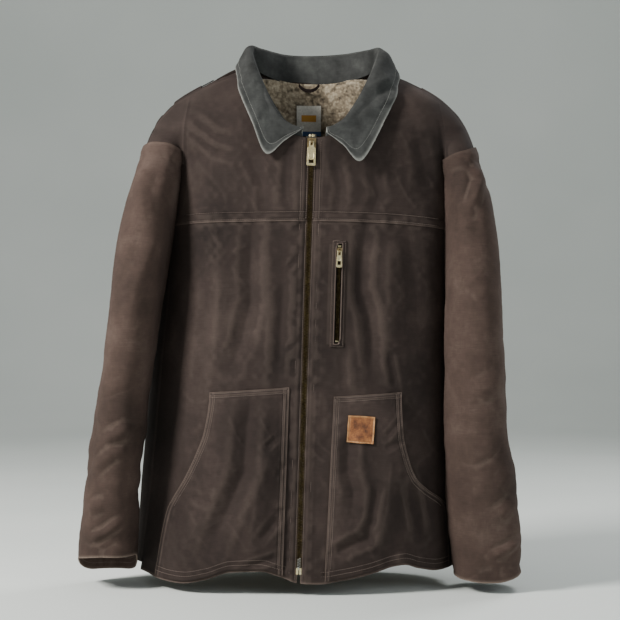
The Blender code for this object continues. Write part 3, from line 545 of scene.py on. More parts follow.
class Nodes:
    """Short names for building a node material. A #rrggbb code stands for a colour."""

    def __init__(self, name, **sockets):
        self.material = bpy.data.materials.new(name)
        self.material.use_nodes = True
        self.tree = self.material.node_tree
        self.shader = self.tree.nodes["Principled BSDF"]
        for key, value in sockets.items():
            self.put(self.shader.inputs[key.replace("_", " ")], value)
        self.place = self.add("ShaderNodeTexCoord").outputs["Object"]

    def add(self, kind, inputs=(), **settings):
        node = self.tree.nodes.new(kind)
        for key, value in settings.items():
            setattr(node, key, value)
        for key, value in dict(inputs).items():
            self.put(node.inputs[key], value)
        return node

    def put(self, socket, value):
        if isinstance(value, bpy.types.NodeSocket):
            self.tree.links.new(value, socket)
        else:
            socket.default_value = (*colour_of(value), 1) if isinstance(value, str) else value

    def mapped(self, scale, turn=(0, 0, 0)):
        inputs = {"Vector": self.place, "Scale": scale, "Rotation": turn}
        return self.add("ShaderNodeMapping", inputs).outputs["Vector"]

    def noise(self, scale, detail=3.0, rough=0.55, at=None, distortion=0.0):
        inputs = {"Vector": at or self.place, "Scale": scale, "Detail": detail, "Roughness": rough,
                  "Distortion": distortion}
        return self.add("ShaderNodeTexNoise", inputs).outputs["Fac"]

    def voronoi(self, scale):
        inputs = {"Vector": self.place, "Scale": scale}
        return self.add("ShaderNodeTexVoronoi", inputs, feature="SMOOTH_F1").outputs["Distance"]

    def wave(self, scale, direction, distortion, detail_scale=2.0):
        inputs = {"Vector": self.place, "Scale": scale, "Distortion": distortion, "Detail": 2.0,
                  "Detail Scale": detail_scale}
        return self.add("ShaderNodeTexWave", inputs, bands_direction=direction).outputs["Fac"]

    def math(self, operation, a, b=0.0, clamp=False):
        return self.add("ShaderNodeMath", {0: a, 1: b}, operation=operation, use_clamp=clamp).outputs[0]

    def total(self, *terms):
        """Sum of (value, share) terms."""
        products = [self.math("MULTIPLY", value, share) for value, share in terms]
        return functools.reduce(lambda a, b: self.math("ADD", a, b), products)

    def ramp(self, value, *stops):
        """Colour or grey level by value; each stop is (place, colour code or level)."""
        node = self.add("ShaderNodeValToRGB", {0: value})
        elements = node.color_ramp.elements
        while len(elements) < len(stops):
            elements.new(0.5)
        for element, (at, shade) in zip(elements, stops):
            element.position = at
            element.color = (*(colour_of(shade) if isinstance(shade, str) else (shade,) * 3), 1)
        return node.outputs["Color"]

    def mix(self, share, a, b):
        return self.add("ShaderNodeMix", data_type="RGBA", inputs={0: share, 6: a, 7: b}).outputs[2]

    def wear(self):
        return self.add("ShaderNodeAttribute", attribute_name="wear").outputs["Fac"]

    def bump(self, height, distance, strength):
        inputs = {"Strength": strength, "Distance": distance, "Height": height}
        return self.add("ShaderNodeBump", inputs).outputs["Normal"]

    def finish(self, colour, roughness=None, normal=None):
        for key, value in (("Base Color", colour), ("Roughness", roughness), ("Normal", normal)):
            if value is not None:
                self.put(self.shader.inputs[key], value)
        return self.material


def colour_of(code):
    """Linear colour of a #rrggbb code."""
    parts = [int(code[k:k + 2], 16) / 255 for k in (1, 3, 5)]
    return tuple(c / 12.92 if c <= 0.04045 else ((c + 0.055) / 1.055) ** 2.4 for c in parts)


def washed(name, dark, base, pale, worn_to=None, thread=1400.0, weave=0.00022, fade=1.0, blotch=8.0):
    """Washed woven cotton: warp and weft, slubs, faded patches and pale worn edges."""
    m = Nodes(name, Roughness=0.9, Sheen_Weight=0.14, Sheen_Roughness=0.45, Specular_IOR_Level=0.18,
              Sheen_Tint=pale)
    warp, weft = (m.wave(thread / 6.283, direction, 0.5, 1.2) for direction in "XZ")
    threads = m.math("MULTIPLY", m.math("ADD", warp, weft), 0.5)
    slub = m.noise(1.0, 4.0, 0.6, m.mapped((60, 60, 900)))
    slub_up = m.noise(1.0, 3.0, 0.6, m.mapped((700, 700, 70)))
    fine = m.noise(120.0, 3.0, 0.6)
    tone = m.total((m.noise(blotch, 4.0, 0.6), 0.66), (slub, 0.14), (m.math("ADD", slub_up, fine), 0.10))
    colour = m.ramp(tone, (0.32, dark), (0.52, base), (0.78, pale))
    colour = m.mix(m.math("MULTIPLY", m.math("SUBTRACT", 1.0, threads), 0.16), colour, dark)
    worn = m.math("MULTIPLY", m.wear(), m.math("ADD", 0.35, m.noise(340.0, 3.0, 0.7)), clamp=True)
    colour = m.mix(m.math("MULTIPLY", worn, fade, clamp=True), colour, worn_to or pale)
    height = m.total((threads, 0.55), (slub, 0.35), (fine, 0.45))
    return m.finish(colour, m.ramp(slub_up, (0.3, 0.84), (0.7, 0.96)), m.bump(height, weave, 0.9))


def thread(name, *shades):
    return washed(name, *shades, thread=3200, weave=0.00008)


def satin(name, emblem):
    """Satin weave; the neck label carries a plain amber bar and a blue foot."""
    m = Nodes(name, Roughness=0.55, Sheen_Weight=0.1, Specular_IOR_Level=0.4)
    colour = m.ramp(m.noise(300.0), (0.3, "#c9c6bc"), (0.7, "#e2dfd6"))
    if emblem:
        along, _, height = m.add("ShaderNodeSeparateXYZ", {0: m.place}).outputs
        wide = m.math("LESS_THAN", m.math("ABSOLUTE", m.math("ADD", along, 0.0020)), 0.0125)
        tall = m.math("LESS_THAN", m.math("ABSOLUTE", m.math("ADD", height, 0.0600)), 0.0055)
        colour = m.mix(m.math("MULTIPLY", wide, tall), colour, "#c8913a")
        colour = m.mix(m.math("LESS_THAN", height, -0.0815), colour, "#41618c")
    return m.finish(colour, None, m.bump(m.wave(520.0, "X", 0.2), 0.0001, 0.6))


def fleece():
    m = Nodes("sherpa_fleece", Roughness=1.0, Sheen_Weight=0.5, Sheen_Roughness=0.5, Specular_IOR_Level=0.1)
    curls, fibre = m.voronoi(260.0), m.noise(900.0, 4.0, 0.7)
    tone = m.math("ADD", m.total((m.noise(45.0, 4.0, 0.65), 0.5), (fibre, 0.3)), 0.22)
    # darker between the curls and where the pile is low: painted shade in the pile's hollows, over the fleece's
    # own uneven tone
    tone = m.math("SUBTRACT", tone, m.math("MULTIPLY", curls, 0.5))
    colour = m.ramp(m.total((tone, 0.6), (m.wear(), 0.42)), (0.22, "#4d4438"), (0.46, "#988a74"),
                    (0.74, "#d3c6ae"))
    return m.finish(colour, None, m.bump(m.total((curls, -0.7), (fibre, 0.6)), 0.0012, 1.0))


def twill(name, shades, mottle, rib, depth, **sockets):
    """Dark cloth with diagonal ribs; rib is (scale, distortion) and depth is (height, strength)."""
    m = Nodes(name, **sockets)
    colour = m.ramp(m.noise(*mottle), (0.3, shades[0]), (0.7, shades[1]))
    return m.finish(colour, None, m.bump(m.wave(rib[0], "DIAGONAL", rib[1]), *depth))


def rib_knit():
    m = Nodes("rib_knit", Roughness=0.95, Sheen_Weight=0.4, Specular_IOR_Level=0.2)
    loops = m.wave(520.0, "Z", 0.6)
    tone = m.total((m.noise(150.0), 0.6), (loops, 0.3))
    return m.finish(m.ramp(tone, (0.3, "#181412"), (0.75, "#3b302b")), None, m.bump(loops, 0.0003, 0.9))


def brass(name, dark, base, bright, rough):
    m = Nodes(name, Metallic=1.0, Roughness=rough)
    tone = m.total((m.noise(160.0, 5.0, 0.65), 0.6), (m.noise(900.0, 3.0), 0.4))
    colour = m.ramp(tone, (0.30, dark), (0.50, base), (0.72, bright))
    scratch = m.noise(1.0, 3.0, 0.6, m.mapped((1500, 300, 180), (0, 0.2, 0)))
    gloss = m.ramp(m.total((tone, 0.6), (scratch, 0.4)), (0.3, rough + 0.25), (0.7, rough - 0.08))
    return m.finish(colour, gloss, m.bump(scratch, 0.00005, 0.6))


def leather():
    m = Nodes("patch_leather", Roughness=0.55, Specular_IOR_Level=0.4, Sheen_Weight=0.08)
    grain, pores = m.voronoi(900.0), m.noise(1500.0, 3.0, 0.6)
    mottle = m.noise(75.0, 5.0, 0.65, distortion=0.4)
    tone = m.total((mottle, 0.75), (grain, 0.25), (m.wear(), 0.30))
    colour = m.ramp(tone, (0.34, "#3f2415"), (0.50, "#6f4225"), (0.66, "#986237"), (0.85, "#bb8f60"))
    height = m.total((grain, 0.8), (pores, 0.3))
    return m.finish(colour, m.ramp(mottle, (0.3, 0.42), (0.7, 0.66)), m.bump(height, 0.0003, 0.9))


LOOKS = {
    "canvas": washed("washed_canvas", "#221c1a", "#342b28", "#50443f", "#70625a"),
    # Sleeves: a lighter copy of the body canvas, painted light for the light that falls on the sleeves
    "sleeve": washed("sleeve_canvas_with_painted_light", "#2f2622", "#4a3c36", "#6b5c54", "#85766b"),
    "collar_cloth": washed("charcoal_collar_canvas", "#262726", "#393a39", "#515350", "#8f908b",
                           thread=1700, fade=0.9, blotch=30.0),
    "facing": washed("facing_canvas", "#1c1614", "#2c2220", "#55483f"),
    "thread": thread("sewing_thread", "#4f443f", "#6d615a", "#8d8078"),
    "collar_thread": thread("collar_thread", "#5b5c59", "#7d7e7a", "#a3a39d"),
    "patch_thread": thread("patch_thread", "#6a4a2c", "#9a7448", "#c9a878"),
    "label": satin("woven_label", True),
    "label_plain": satin("woven_tab", False),
    "fleece": fleece(),
    "quilted_lining": twill("quilted_lining", ("#1b1816", "#2f2a27"), (60.0, 4.0, 0.6), (420.0, 0.2),
                            (0.0001, 0.6), Roughness=0.5, Sheen_Weight=0.2, Specular_IOR_Level=0.4),
    "zip_tape": twill("zip_tape", ("#14100f", "#2a2220"), (200.0,), (300.0, 0.1), (0.00012, 0.8),
                      Roughness=0.8, Sheen_Weight=0.1, Specular_IOR_Level=0.3),
    "rib_knit": rib_knit(),
    "brass": brass("brass", "#b5a26c", "#e9dcb0", "#fbf3d6", 0.34),
    # Zip teeth: brass painted near black, painted shade of the narrow gap the teeth sit in
    "brass_with_painted_shade": brass("brass_with_painted_shade", "#15110c", "#3d3322", "#75653f", 0.5),
    "aged_brass": brass("aged_brass", "#4c4432", "#958362", "#cdbb8c", 0.38),
    "leather": leather(),
}


# ---------------------------------------------------------------- body panels


def crowded(count, power=1.0):
    """Values from 0 to 1 that crowd towards 1, where the cloth turns round the side."""
    t = np.linspace(0, 1, count)
    return lerp(t, np.sin(t * math.pi / 2), power)


def lower_grid(side, columns, rows, inner, hem):
    """(x, z) of a panel's grid, from the hem up to a little above the yoke seam."""
    u, v = np.meshgrid(crowded(columns), np.linspace(0, 1, rows))

    def across(z):
        return lerp(inner(z), lean(z) + side * width(z, side), u)
    x = across(lerp(-0.80, YOKE_SEAM, v))
    z = lerp(hem(x), yoke_seam(x, side) + 0.006, v)
    return across(z), z


def hem_front(x):
    return through(HEM_FRONT, x)


def hem_back(x):
    return HEM_BACK - 0.008 * np.cos(x / 0.07) + 0.004 * np.sin(x / 0.03)


def edge_wear(*distances, width=0.0022):
    """Wear that is strong along edges: the largest of several fading bands."""
    return np.clip(np.max([np.exp(-(d / width) ** 2) for d in distances], axis=0), 0, 1)


def ridge_wear(grid, flip, wrap=False, reach=4):
    """Wear on crests: where the cloth stands above its neighbourhood."""
    n, level = grid_normals(grid, wrap, flip)[..., 1], grid[..., 1]
    padded = np.pad(level, reach, mode="edge")
    inner, wide = slice(reach, -reach), slice(2 * reach, None)
    around = (padded[:-2 * reach, inner] + padded[wide, inner]
              + padded[inner, :-2 * reach] + padded[inner, wide]) / 4
    return np.clip(np.abs(n) * (around - level) * np.sign(-n) * 260, 0, 0.14)


def make_front_panels():
    for side, name in NAMES.items():
        def inner(z):
            return zip_x(z) + side * FRONT_GAP
        x, z = lower_grid(side, 150, 320, inner, hem_front)
        under = smooth(-0.002, 0.004, z - yoke_seam(x, side))
        from_zip = np.abs(x - inner(z))
        roll = 0.0022 * smooth(0.0030, 0.0075, from_zip) - 0.0010 * smooth(0.010, 0.022, from_zip) - 0.0006
        roll = roll - 0.0008 * np.exp(-((from_zip - 0.0125) / 0.0018) ** 2)
        gather = pucker(x, z, from_zip - 0.012, 0.012, 0.013, 0.0011)
        hem_band = z - hem_front(x)
        gather = gather + pucker(x, z, hem_band - 0.016, 0.018, 0.014, 0.0013)
        if side > 0:
            gap = np.abs(x - chest_zip_x(z))
            inside = smooth(-0.2775, -0.2805, z) * smooth(-0.4385, -0.4355, z)
            roll = roll - 0.0075 * smooth(0.0066, 0.0050, gap) * inside
        grid = body_point(x, z, side, lift=roll + gather - 0.0016 * under)
        wear = edge_wear(from_zip, hem_band) * 0.7 + ridge_wear(grid, side < 0)
        cloth(name + "_front_panel_cloth", grid, CANVAS, name + "_front_panel", flip=side < 0, wear=wear)


def neck_edge(side, t, back):
    """Neckline point (x, z): t is 0 at the middle and 1 on the shoulder."""
    side_point_x = NECK_SHIFT + side * NECK_HALF
    side_point_z = shoulder_height(side_point_x)
    if back:
        return lerp(NECK_SHIFT, side_point_x, t), lerp(BACK_NECK, side_point_z, t ** 2.2)
    start = zip_x(ZIP_TOP_Z) + side * FRONT_GAP
    angle = t * math.pi / 2
    return (lerp(start, side_point_x, np.sin(angle)),
            lerp(ZIP_TOP_Z, side_point_z, 1 - np.cos(angle)))


def cap_seam(x, side):
    return through(CAP_SEAM[side], np.abs(x))


def yoke_rows(side, back):
    """(x, z) grids of the yoke: the part over the chest, and the cap that runs on to the arm."""
    crease_x = side * (0.2215 if side > 0 else 0.2060)
    crease_z = float(cap_seam(crease_x, side))
    inner_x = 0.0 if back else zip_x(YOKE_SEAM) + side * FRONT_GAP
    top_x = crease_x - side * 0.010
    share = 0.42
    u = np.linspace(0, 1, 120)
    neck_x, neck_z = neck_edge(side, np.clip(u / share, 0, 1), back)
    beyond = np.clip((u - share) / (1 - share), 0, 1)
    over_x = lerp(neck_x, top_x, beyond)
    over_z = np.where(u > share, shoulder_height(over_x), neck_z)
    foot_x = lerp(inner_x, crease_x + side * 0.012, u)
    foot_z = yoke_seam(foot_x, side)
    corner = (crease_z - foot_z[-1]) / (over_z[-1] - foot_z[-1])
    v_low, v_high = np.linspace(0, corner, 50), np.linspace(corner, 1, 70)
    v = np.concatenate([v_low, v_high[1:]])[:, None]
    x = lerp(foot_x[None], over_x[None], v)
    bow = smooth(0, 1, v / corner)
    x = x + (crease_x - (lerp(foot_x[-1], over_x[-1], v))) * np.where(v < corner, bow, 1) \
        * smooth(0.75, 1, u)[None] * smooth(1, corner, v)
    z = lerp(foot_z[None], over_z[None], v)
    w = np.linspace(0, 1, 60)[None]
    r = ((v_high - corner) / (1 - corner))[:, None]
    tip = (0.2755 if side > 0 else -0.2780) + 0 * w
    low_x = lerp(x[len(v_low) - 1, -1], tip, w)
    low_z = lerp(z[len(v_low) - 1, -1], cap_seam(tip, side), w)
    low_z = np.where(w > 0.02, cap_seam(low_x, side), low_z)
    high_x = lerp(x[-1, -1], side * (0.2710 if side > 0 else 0.2735), w)
    high_z = shoulder_height(high_x)
    left_x, left_z = x[len(v_low) - 1:, -1][:, None], z[len(v_low) - 1:, -1][:, None]
    cap_x = lerp(low_x, high_x, r)
    cap_z = lerp(low_z, high_z, r)
    cap_x = cap_x + (left_x - cap_x[:, :1]) * (1 - w)
    cap_z = cap_z + (left_z - cap_z[:, :1]) * (1 - w)
    return (x, z), (cap_x, cap_z)


def yoke_point(x, z, side, back):
    chest = body_point(x, z, side, back, arms=True)
    plain = body_point(x, z, side, back, arms=False)
    share = smooth(-0.175, -0.158, z)[..., None]
    return lerp(plain, chest, share)


def side_cover(side, back):
    """Cloth of the body's side under the arm, between the yoke's outer edge and the side seam."""
    u, z = np.meshgrid(crowded(36), np.linspace(-0.272, -0.118, 60))
    x = lean(z) + side * width(z, side) * lerp(0.78, 1.0, u)
    grid = body_point(x, z, side, back, inset=0.0024)
    return sheet("side_cover", grid, 0.0012, flip=(side < 0) != back)


def shoulder_bridge(side, *rows):
    """Cloth over the top of the shoulder, from the front yoke's top edge to the back's."""
    x, z = np.concatenate(rows[::2]), np.concatenate(rows[1::2])
    front, back = (yoke_point(x, z, side, turned) for turned in (False, True))
    t = np.linspace(0, 1, 16)[:, None, None]
    grid = lerp(front[None], back[None], t)
    gap = np.abs(back - front)[None, :, 1]
    grid[..., 2] += np.minimum(0.007, 0.22 * gap) * np.sin(math.pi * t[..., 0]) + 0.0004
    return sheet("shoulder_bridge", grid, CANVAS, flip=side < 0)


def make_yokes():
    for back in (False, True):
        made, middle = [], []
        for side, name in NAMES.items():
            (x, z), (cap_x, cap_z) = yoke_rows(side, back)
            lap = 0.0018 * smooth(0.030, 0.004, z - yoke_seam(x, side))
            if not back:
                from_zip = np.abs(x - zip_x(z)) - FRONT_GAP
                near = smooth(0.030, 0.010, from_zip)
                lap = lerp(lap, 0.0022 * smooth(0.0030, 0.0075, from_zip) - 0.0006, near)
                lap = lap - 0.0008 * np.exp(-((from_zip - 0.0125) / 0.0018) ** 2) * near
            lap = lap - 0.0007 * np.exp(-((z - yoke_seam(x, side) - 0.0035) / 0.0012) ** 2)
            lap = lap - 0.0007 * np.exp(-((z - yoke_seam(x, side) - 0.0150) / 0.0016) ** 2)
            out = 1 if back else -1
            main = yoke_point(x, z, side, back)
            main[..., 1] += out * lap
            cap = yoke_point(cap_x, cap_z, side, back)
            over = cap_z - cap_seam(cap_x, side)
            rise = 0.0018 * smooth(0.022, 0.003, over) * smooth(0.2105, 0.222, np.abs(cap_x))
            cap[..., 1] += out * rise
            flip = (side < 0) != back
            pieces = []
            for part, grid in (("_main", main), ("_cap", cap)):
                rub = edge_wear(z - yoke_seam(x, side)) if part == "_main" else edge_wear(over)
                wear = rub * 0.5 + ridge_wear(grid, flip)
                if back and part == "_main":
                    middle.append((grid, wear))
                else:
                    pieces.append(sheet(name + part, grid, CANVAS, flip=flip, wear=wear))
            pieces.append(side_cover(side, back))
            if not back:
                pieces.append(shoulder_bridge(side, x[-1, -70:], z[-1, -70:], cap_x[-1, 1:], cap_z[-1, 1:]))
            made.append(merged(name + ("_back" if back else "_front") + "_yoke_cloth", pieces))
        if back:
            grid, wear = (np.concatenate([right[:, :0:-1], left], axis=1) for right, left in zip(*middle))
            made.append(sheet("back_yoke_main", grid, CANVAS, flip=True, wear=wear))
            yoke = merged("back_yoke_cloth", made)
            finish_piece(yoke, "canvas", "canvas", "root", "back_yoke")
        else:
            for obj, name in zip(made, ("right", "left")):
                finish_piece(obj, "canvas", "canvas", "root", name + "_front_yoke")


def make_back_panel():
    halves = []
    for side in (RIGHT, LEFT):
        x, z = lower_grid(side, 120, 260, lambda z: 0 * z, hem_back)
        under = smooth(-0.002, 0.004, z - yoke_seam(x, side))
        gather = pucker(x, z, z - hem_back(x) - 0.016, 0.018, 0.014, 0.0013)
        halves.append(body_point(x, z, side, True, lift=gather - 0.0016 * under))
    grid = np.concatenate([halves[0][:, :0:-1], halves[1]], axis=1)
    cloth("back_panel_cloth", grid, CANVAS, "back_panel", flip=True, wear=ridge_wear(grid, True))


# ---------------------------------------------------------------- sleeves

SLEEVE_AROUND, SLEEVE_DOWN = 190, 270
# Height of the cuff's edge at its outer, front, inner and back side
CUFF = {RIGHT: (-0.785, -0.779, -0.780, -0.815), LEFT: (-0.806, -0.817, -0.812, -0.812)}


def signed_power(value, power):
    return np.sign(value) * np.abs(value) ** power


def sleeve_grid(side, around=SLEEVE_AROUND, down=SLEEVE_DOWN, inset=0.0, top=0.0, foot=0.0, plain=False):
    """Points of a sleeve: rows run down from the armhole, columns go round it from the outer edge."""
    angle = np.linspace(0, 2 * math.pi, around, endpoint=False)[None]
    c, s = np.cos(angle), np.sin(angle)
    start_middle, start_half, _, _ = arm(np.full_like(c, -0.146), side)
    start_x = side * (start_middle + start_half * c)
    seam_z = cap_seam(start_x, side) + 0.004
    high = seam_z + top + (0 if plain else 0.014)
    outer, front, inner, rear = CUFF[side]
    low = lerp(np.where(c > 0, outer, inner), front, np.maximum(s, 0) ** 2)
    low = lerp(low, rear, smooth(-0.35, 0.9, -signed_power(s, 2 / ARM_ROUND))) + foot
    t = np.linspace(0, 1, down)[:, None]
    z = lerp(high, low, t)
    middle, half, middle_y, deep = arm(z, side)
    x = side * (middle + (half - inset) * signed_power(c, 2 / ARM_ROUND))
    y = middle_y - (deep - inset) * signed_power(s, 2 / ARM_ROUND)
    grid = np.stack([x, y + 0 * x, z], axis=-1)
    if plain:
        return grid
    n = grid_normals(grid, True, side > 0)
    lift = 0
    front_side = smooth(-0.35, 0.25, s)
    for path, wide, deep_by in SLEEVE_FOLDS:
        if np.sign(path[0][0]) == side:
            lift = lift - fold(x, z, path, wide, deep_by) * front_side
    p = np.stack([x + 0.5 * z, y, z - 0.35 * x], axis=-1)
    lower = smooth(-0.30, -0.62, z)
    lift = lift + 0.0036 * noise(grid, (0.06, 0.06, 0.22), 21 + side) * smooth(-0.15, -0.22, z)
    lift = lift + (0.0006 + 0.0016 * lower) * (creased(p, (0.110, 0.110, 0.060), 23 + side) - 0.35)
    lift = lift + 0.0012 * noise(p, (0.045, 0.045, 0.026), 25 + side) * (0.3 + lower)
    lift = lift + 0.00025 * noise(p, (0.009, 0.009, 0.007), 27 + side)
    from_top = seam_z - z
    lift = lift * smooth(0.0, 0.03, from_top)
    lift = lift + pucker(x + y, z, from_top - 0.004, 0.012, 0.010, 0.0011)
    lift = lift + pucker(x + y, z, z - low - 0.02, 0.018, 0.012, 0.0010)
    lift = lift - 0.0014 * smooth(0.009, 0.003, from_top) - 0.0012 * smooth(0.002, -0.004, from_top)
    return grid + n * lift[..., None]


def follow_sleeve(obj):
    """Bakes a sleeve piece's placement into its mesh."""
    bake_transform(obj)


def make_sleeves():
    for side, name in NAMES.items():
        flip = side > 0

        def tube_of(kind, grid, thickness, node, look, slot, wear=None):
            made = cloth(name + kind, grid, thickness, name + node, look=look, slot=slot, body=None,
                         flip=flip, wrap=True, wear=wear)
            follow_sleeve(made)
        grid = sleeve_grid(side)
        from_cuff = np.abs(grid[..., 2] - grid[-1:, :, 2])
        wear = edge_wear(from_cuff) * 0.9 + ridge_wear(grid, flip, wrap=True)
        # the sleeve cloth takes the lighter canvas: painted light
        tube_of("_sleeve_cloth", grid, CANVAS, "_sleeve", "sleeve", "canvas", wear)
        rows = [sleeve_line(grid, up, from_cuff) for up in (0.010, 0.017)]
        follow_sleeve(stitching(name + "_cuff_stitching", rows, body=None))

        lining = sleeve_grid(side, 96, 120, inset=0.0062, top=-0.004, foot=0.030, plain=True)
        run, depth = np.arange(96)[None] / 96 * 0.40, lining[..., 2]
        diamond = (np.abs(np.sin((run + depth) * math.pi / 0.05))
                   * np.abs(np.sin((run - depth) * math.pi / 0.05)))
        quilt = (0.0015 - 0.0028 * diamond ** 0.5)[..., None]
        lining = lining - grid_normals(lining, True, flip) * quilt
        tube_of("_sleeve_lining_cloth", lining, 0.0015, "_sleeve_lining", "quilted_lining", "quilted_lining")

        knit = sleeve_grid(side, 240, 300, inset=0.0095, foot=0.020, plain=True)[-48:]
        rib = np.cos(np.arange(240) / 240 * 2 * math.pi * 60)[None, :, None]
        knit = knit + grid_normals(knit, True, flip) * rib * 0.0008
        tube_of("_storm_cuff_knit", knit, 0.0020, "_storm_cuff", "rib_knit", "rib_knit")


def sleeve_line(grid, up, from_cuff):
    """A line round the sleeve, a fixed height above its cuff."""
    rows = np.argmin(np.abs(from_cuff - up), axis=0)
    columns = np.arange(grid.shape[1])
    n = grid_normals(grid, wrap=True)[rows, columns]
    middle = grid.mean(axis=1)[rows]
    points = grid[rows, columns]
    facing = np.sign(((points - middle) * n).sum(-1, keepdims=True))
    n = n * facing
    order = np.append(columns, 0)
    return points[order], n[order]


# ---------------------------------------------------------------- pockets

def pocket_edges(z, side):
    return through(POCKET_INNER[side], z), through(POCKET_OUTER[side], z)


def pocket_top(x, side):
    inner, outer = pocket_edges(np.full_like(np.asarray(x, float), -0.513), side)
    return lerp(*POCKET_TOP_LINE[side], np.clip((x - inner) / (outer - inner), 0, 1))


def pocket_lift(x, z, side):
    """How far the pocket's cloth stands off the front, where x and z are on the pocket."""
    inner, outer = pocket_edges(z, side)
    high, low = pocket_top(x, side), hem_front(x) + 0.004
    u = np.clip((x - inner) / (outer - inner), 0, 1)
    v = np.clip((z - low) / (high - low), 0, 1)
    puff = POCKET_PUFF * np.sin(math.pi * u) ** 0.8 * np.sin(math.pi * v ** 0.85) ** 0.7
    mouth = smooth(MOUTH_FOOT - 0.004, MOUTH_FOOT + 0.045, z) * smooth(0.0, 0.06, high - z)
    gape = MOUTH_GAPE[side] * smooth(0.45, 1, u) * mouth
    edge = np.minimum(np.minimum(np.abs(x - inner), np.abs(outer - x)), high - z)
    rim = 0.0034 - 0.0007 * np.exp(-((edge - 0.0025) / 0.0013) ** 2) \
        - 0.0008 * np.exp(-((edge - 0.0085) / 0.0015) ** 2)
    gather = pucker(x, z, edge - 0.006, 0.010, 0.010, 0.0010)
    return rim + puff + gape + gather


def pocket_grid(side, columns=130, rows=250):
    u, v = np.meshgrid(np.linspace(0, 1, columns), np.linspace(0, 1, rows))
    u = lerp(u, (1 - np.cos(u * math.pi)) / 2, 0.35)
    z = lerp(-0.80, -0.513, v)
    for _ in range(3):
        inner, outer = pocket_edges(z, side)
        x = lerp(inner, outer, u)
        z = lerp(hem_front(x) + 0.004, pocket_top(x, side), v)
    return x, z


def front_skin(side):
    """Surface function of the outermost cloth of a front: the pocket where there is one."""
    def surface(x, z):
        inner, outer = pocket_edges(z, side)
        on_pocket = ((x - inner) * side > 0) & ((outer - x) * side > 0) & (z < pocket_top(x, side))
        return body_point(x, z, side, lift=np.where(on_pocket, pocket_lift(x, z, side), 0))
    return surface


def stitch_line(surface, x, z, step=0.0015):
    """Points of a surface function along x, z, with its normals turned to the front."""
    dx = surface(x + step, z) - surface(x - step, z)
    dz = surface(x, z + step) - surface(x, z - step)
    n = unit(np.cross(dx, dz))
    return surface(x, z), n * np.where(n[..., 1:2] > 0, -1, 1)


def make_hand_pockets():
    for side, name in NAMES.items():
        x, z = pocket_grid(side)
        grid = body_point(x, z, side, lift=pocket_lift(x, z, side))
        inner, outer = pocket_edges(z, side)
        wear = 0.7 * edge_wear(x - inner, outer - x, pocket_top(x, side) - z, width=0.0014)
        wear = np.clip(wear + 0.3 * edge_wear(np.abs(outer - x) - 0.006, np.abs(x - inner) - 0.006,
                                              pocket_top(x, side) - z - 0.006, width=0.0013), 0, 1)
        cloth(name + "_hand_pocket_cloth", grid, 0.0018, name + "_hand_pocket", flip=side < 0,
              wear=wear + ridge_wear(grid, side < 0))
        skin = front_skin(side)
        lines = []
        for away in (0.0025, 0.0085):
            down = np.linspace(float(POCKET_TOP_LINE[side][0]) - 0.003, -0.792, 400)
            lines.append(stitch_line(skin, through(POCKET_INNER[side], down) + side * away, down))
            mouth = np.linspace(POCKET_TOP_LINE[side][1] - 0.003, MOUTH_FOOT, 400)
            edge = through(POCKET_OUTER[side], mouth)
            slope = np.gradient(edge, mouth)
            size = np.hypot(1, slope)
            lines.append(stitch_line(skin, edge - side * away / size, mouth + side * away * slope / size))
            start, end = (through(rows[side], -0.512) for rows in (POCKET_INNER, POCKET_OUTER))
            across = np.linspace(start + side * 0.003, end - side * 0.003, 300)
            lines.append(stitch_line(skin, across, pocket_top(across, side) - away))
        stitching(name + "_pocket_stitching", lines)


# ---------------------------------------------------------------- seams on the body

def yoke_skin(side, back):
    out = 1 if back else -1

    def surface(x, z):
        point = yoke_point(x, z, side, back)
        point[..., 1] += out * 0.0016
        return point
    return surface


def seam_rows(surface, x, height, ups, turn=1):
    """Rows of stitches a little above a seam; turn is -1 on the back."""
    lines = [stitch_line(surface, x, height + up) for up in ups]
    return [(points, n * turn) for points, n in lines]


def make_body_stitching():
    behind = []
    for side, name in NAMES.items():
        yoke, skin = yoke_skin(side, False), front_skin(side)
        cap_x = side * np.linspace(0.226 if side > 0 else 0.214, 0.270, 90)
        end = lean(YOKE_SEAM) + side * width(YOKE_SEAM, side) * (0.90 if side > 0 else 0.93)
        x = np.linspace(zip_x(YOKE_SEAM) + side * 0.007, end, 400)
        stitching(name + "_front_yoke_stitching",
                  seam_rows(yoke, x, yoke_seam(x, side), YOKE_STITCHES)
                  + seam_rows(yoke, cap_x, cap_seam(cap_x, side), CAP_STITCHES))
        runs = ((skin, YOKE_SEAM - 0.004, hem_front(zip_x(-0.8)) + 0.006, 700),
                (yoke, ZIP_TOP_Z - 0.004, YOKE_SEAM + 0.004, 160))
        lines = []
        for away in (0.0030, 0.0125):
            for surface, high, low, count in runs:
                z = np.linspace(high, low, count)
                lines.append(stitch_line(surface, zip_x(z) + side * (FRONT_GAP + away), z))
        x = np.linspace(zip_x(-0.8) + side * 0.010, lean(-0.8) + side * width(-0.8, side) * 0.97, 500)
        stitching(name + "_front_edge_stitching", lines + seam_rows(skin, x, hem_front(x), HEM_STITCHES))

        def back_skin(x, z):
            return body_point(x, z, side, True)
        yoke, x = yoke_skin(side, True), np.linspace(0.0, side * 0.225, 400)
        behind += seam_rows(yoke, x, yoke_seam(x, side), YOKE_STITCHES, -1)
        behind += seam_rows(yoke, cap_x, cap_seam(cap_x, side), CAP_STITCHES, -1)
        x = np.linspace(0.0, side * 0.235, 400)
        behind += seam_rows(back_skin, x, hem_back(x), HEM_STITCHES, -1)
    stitching("back_stitching", behind)


# ---------------------------------------------------------------- linings and facings

def fleece_lumps(points):
    """Height of the curled pile, 0 to 1; it also darkens the fleece colour in the pile's hollows, as painted
    shade.
    """
    wander = points + 0.003 * np.stack([noise(points, 0.011, s) for s in (31, 32, 33)], axis=-1)
    lump = 1 - np.abs(noise(wander, 0.0085, 34))
    small = 1 - np.abs(noise(wander, 0.0045, 35))
    return np.clip(0.65 * lump + 0.45 * small - 0.25, 0, 1)


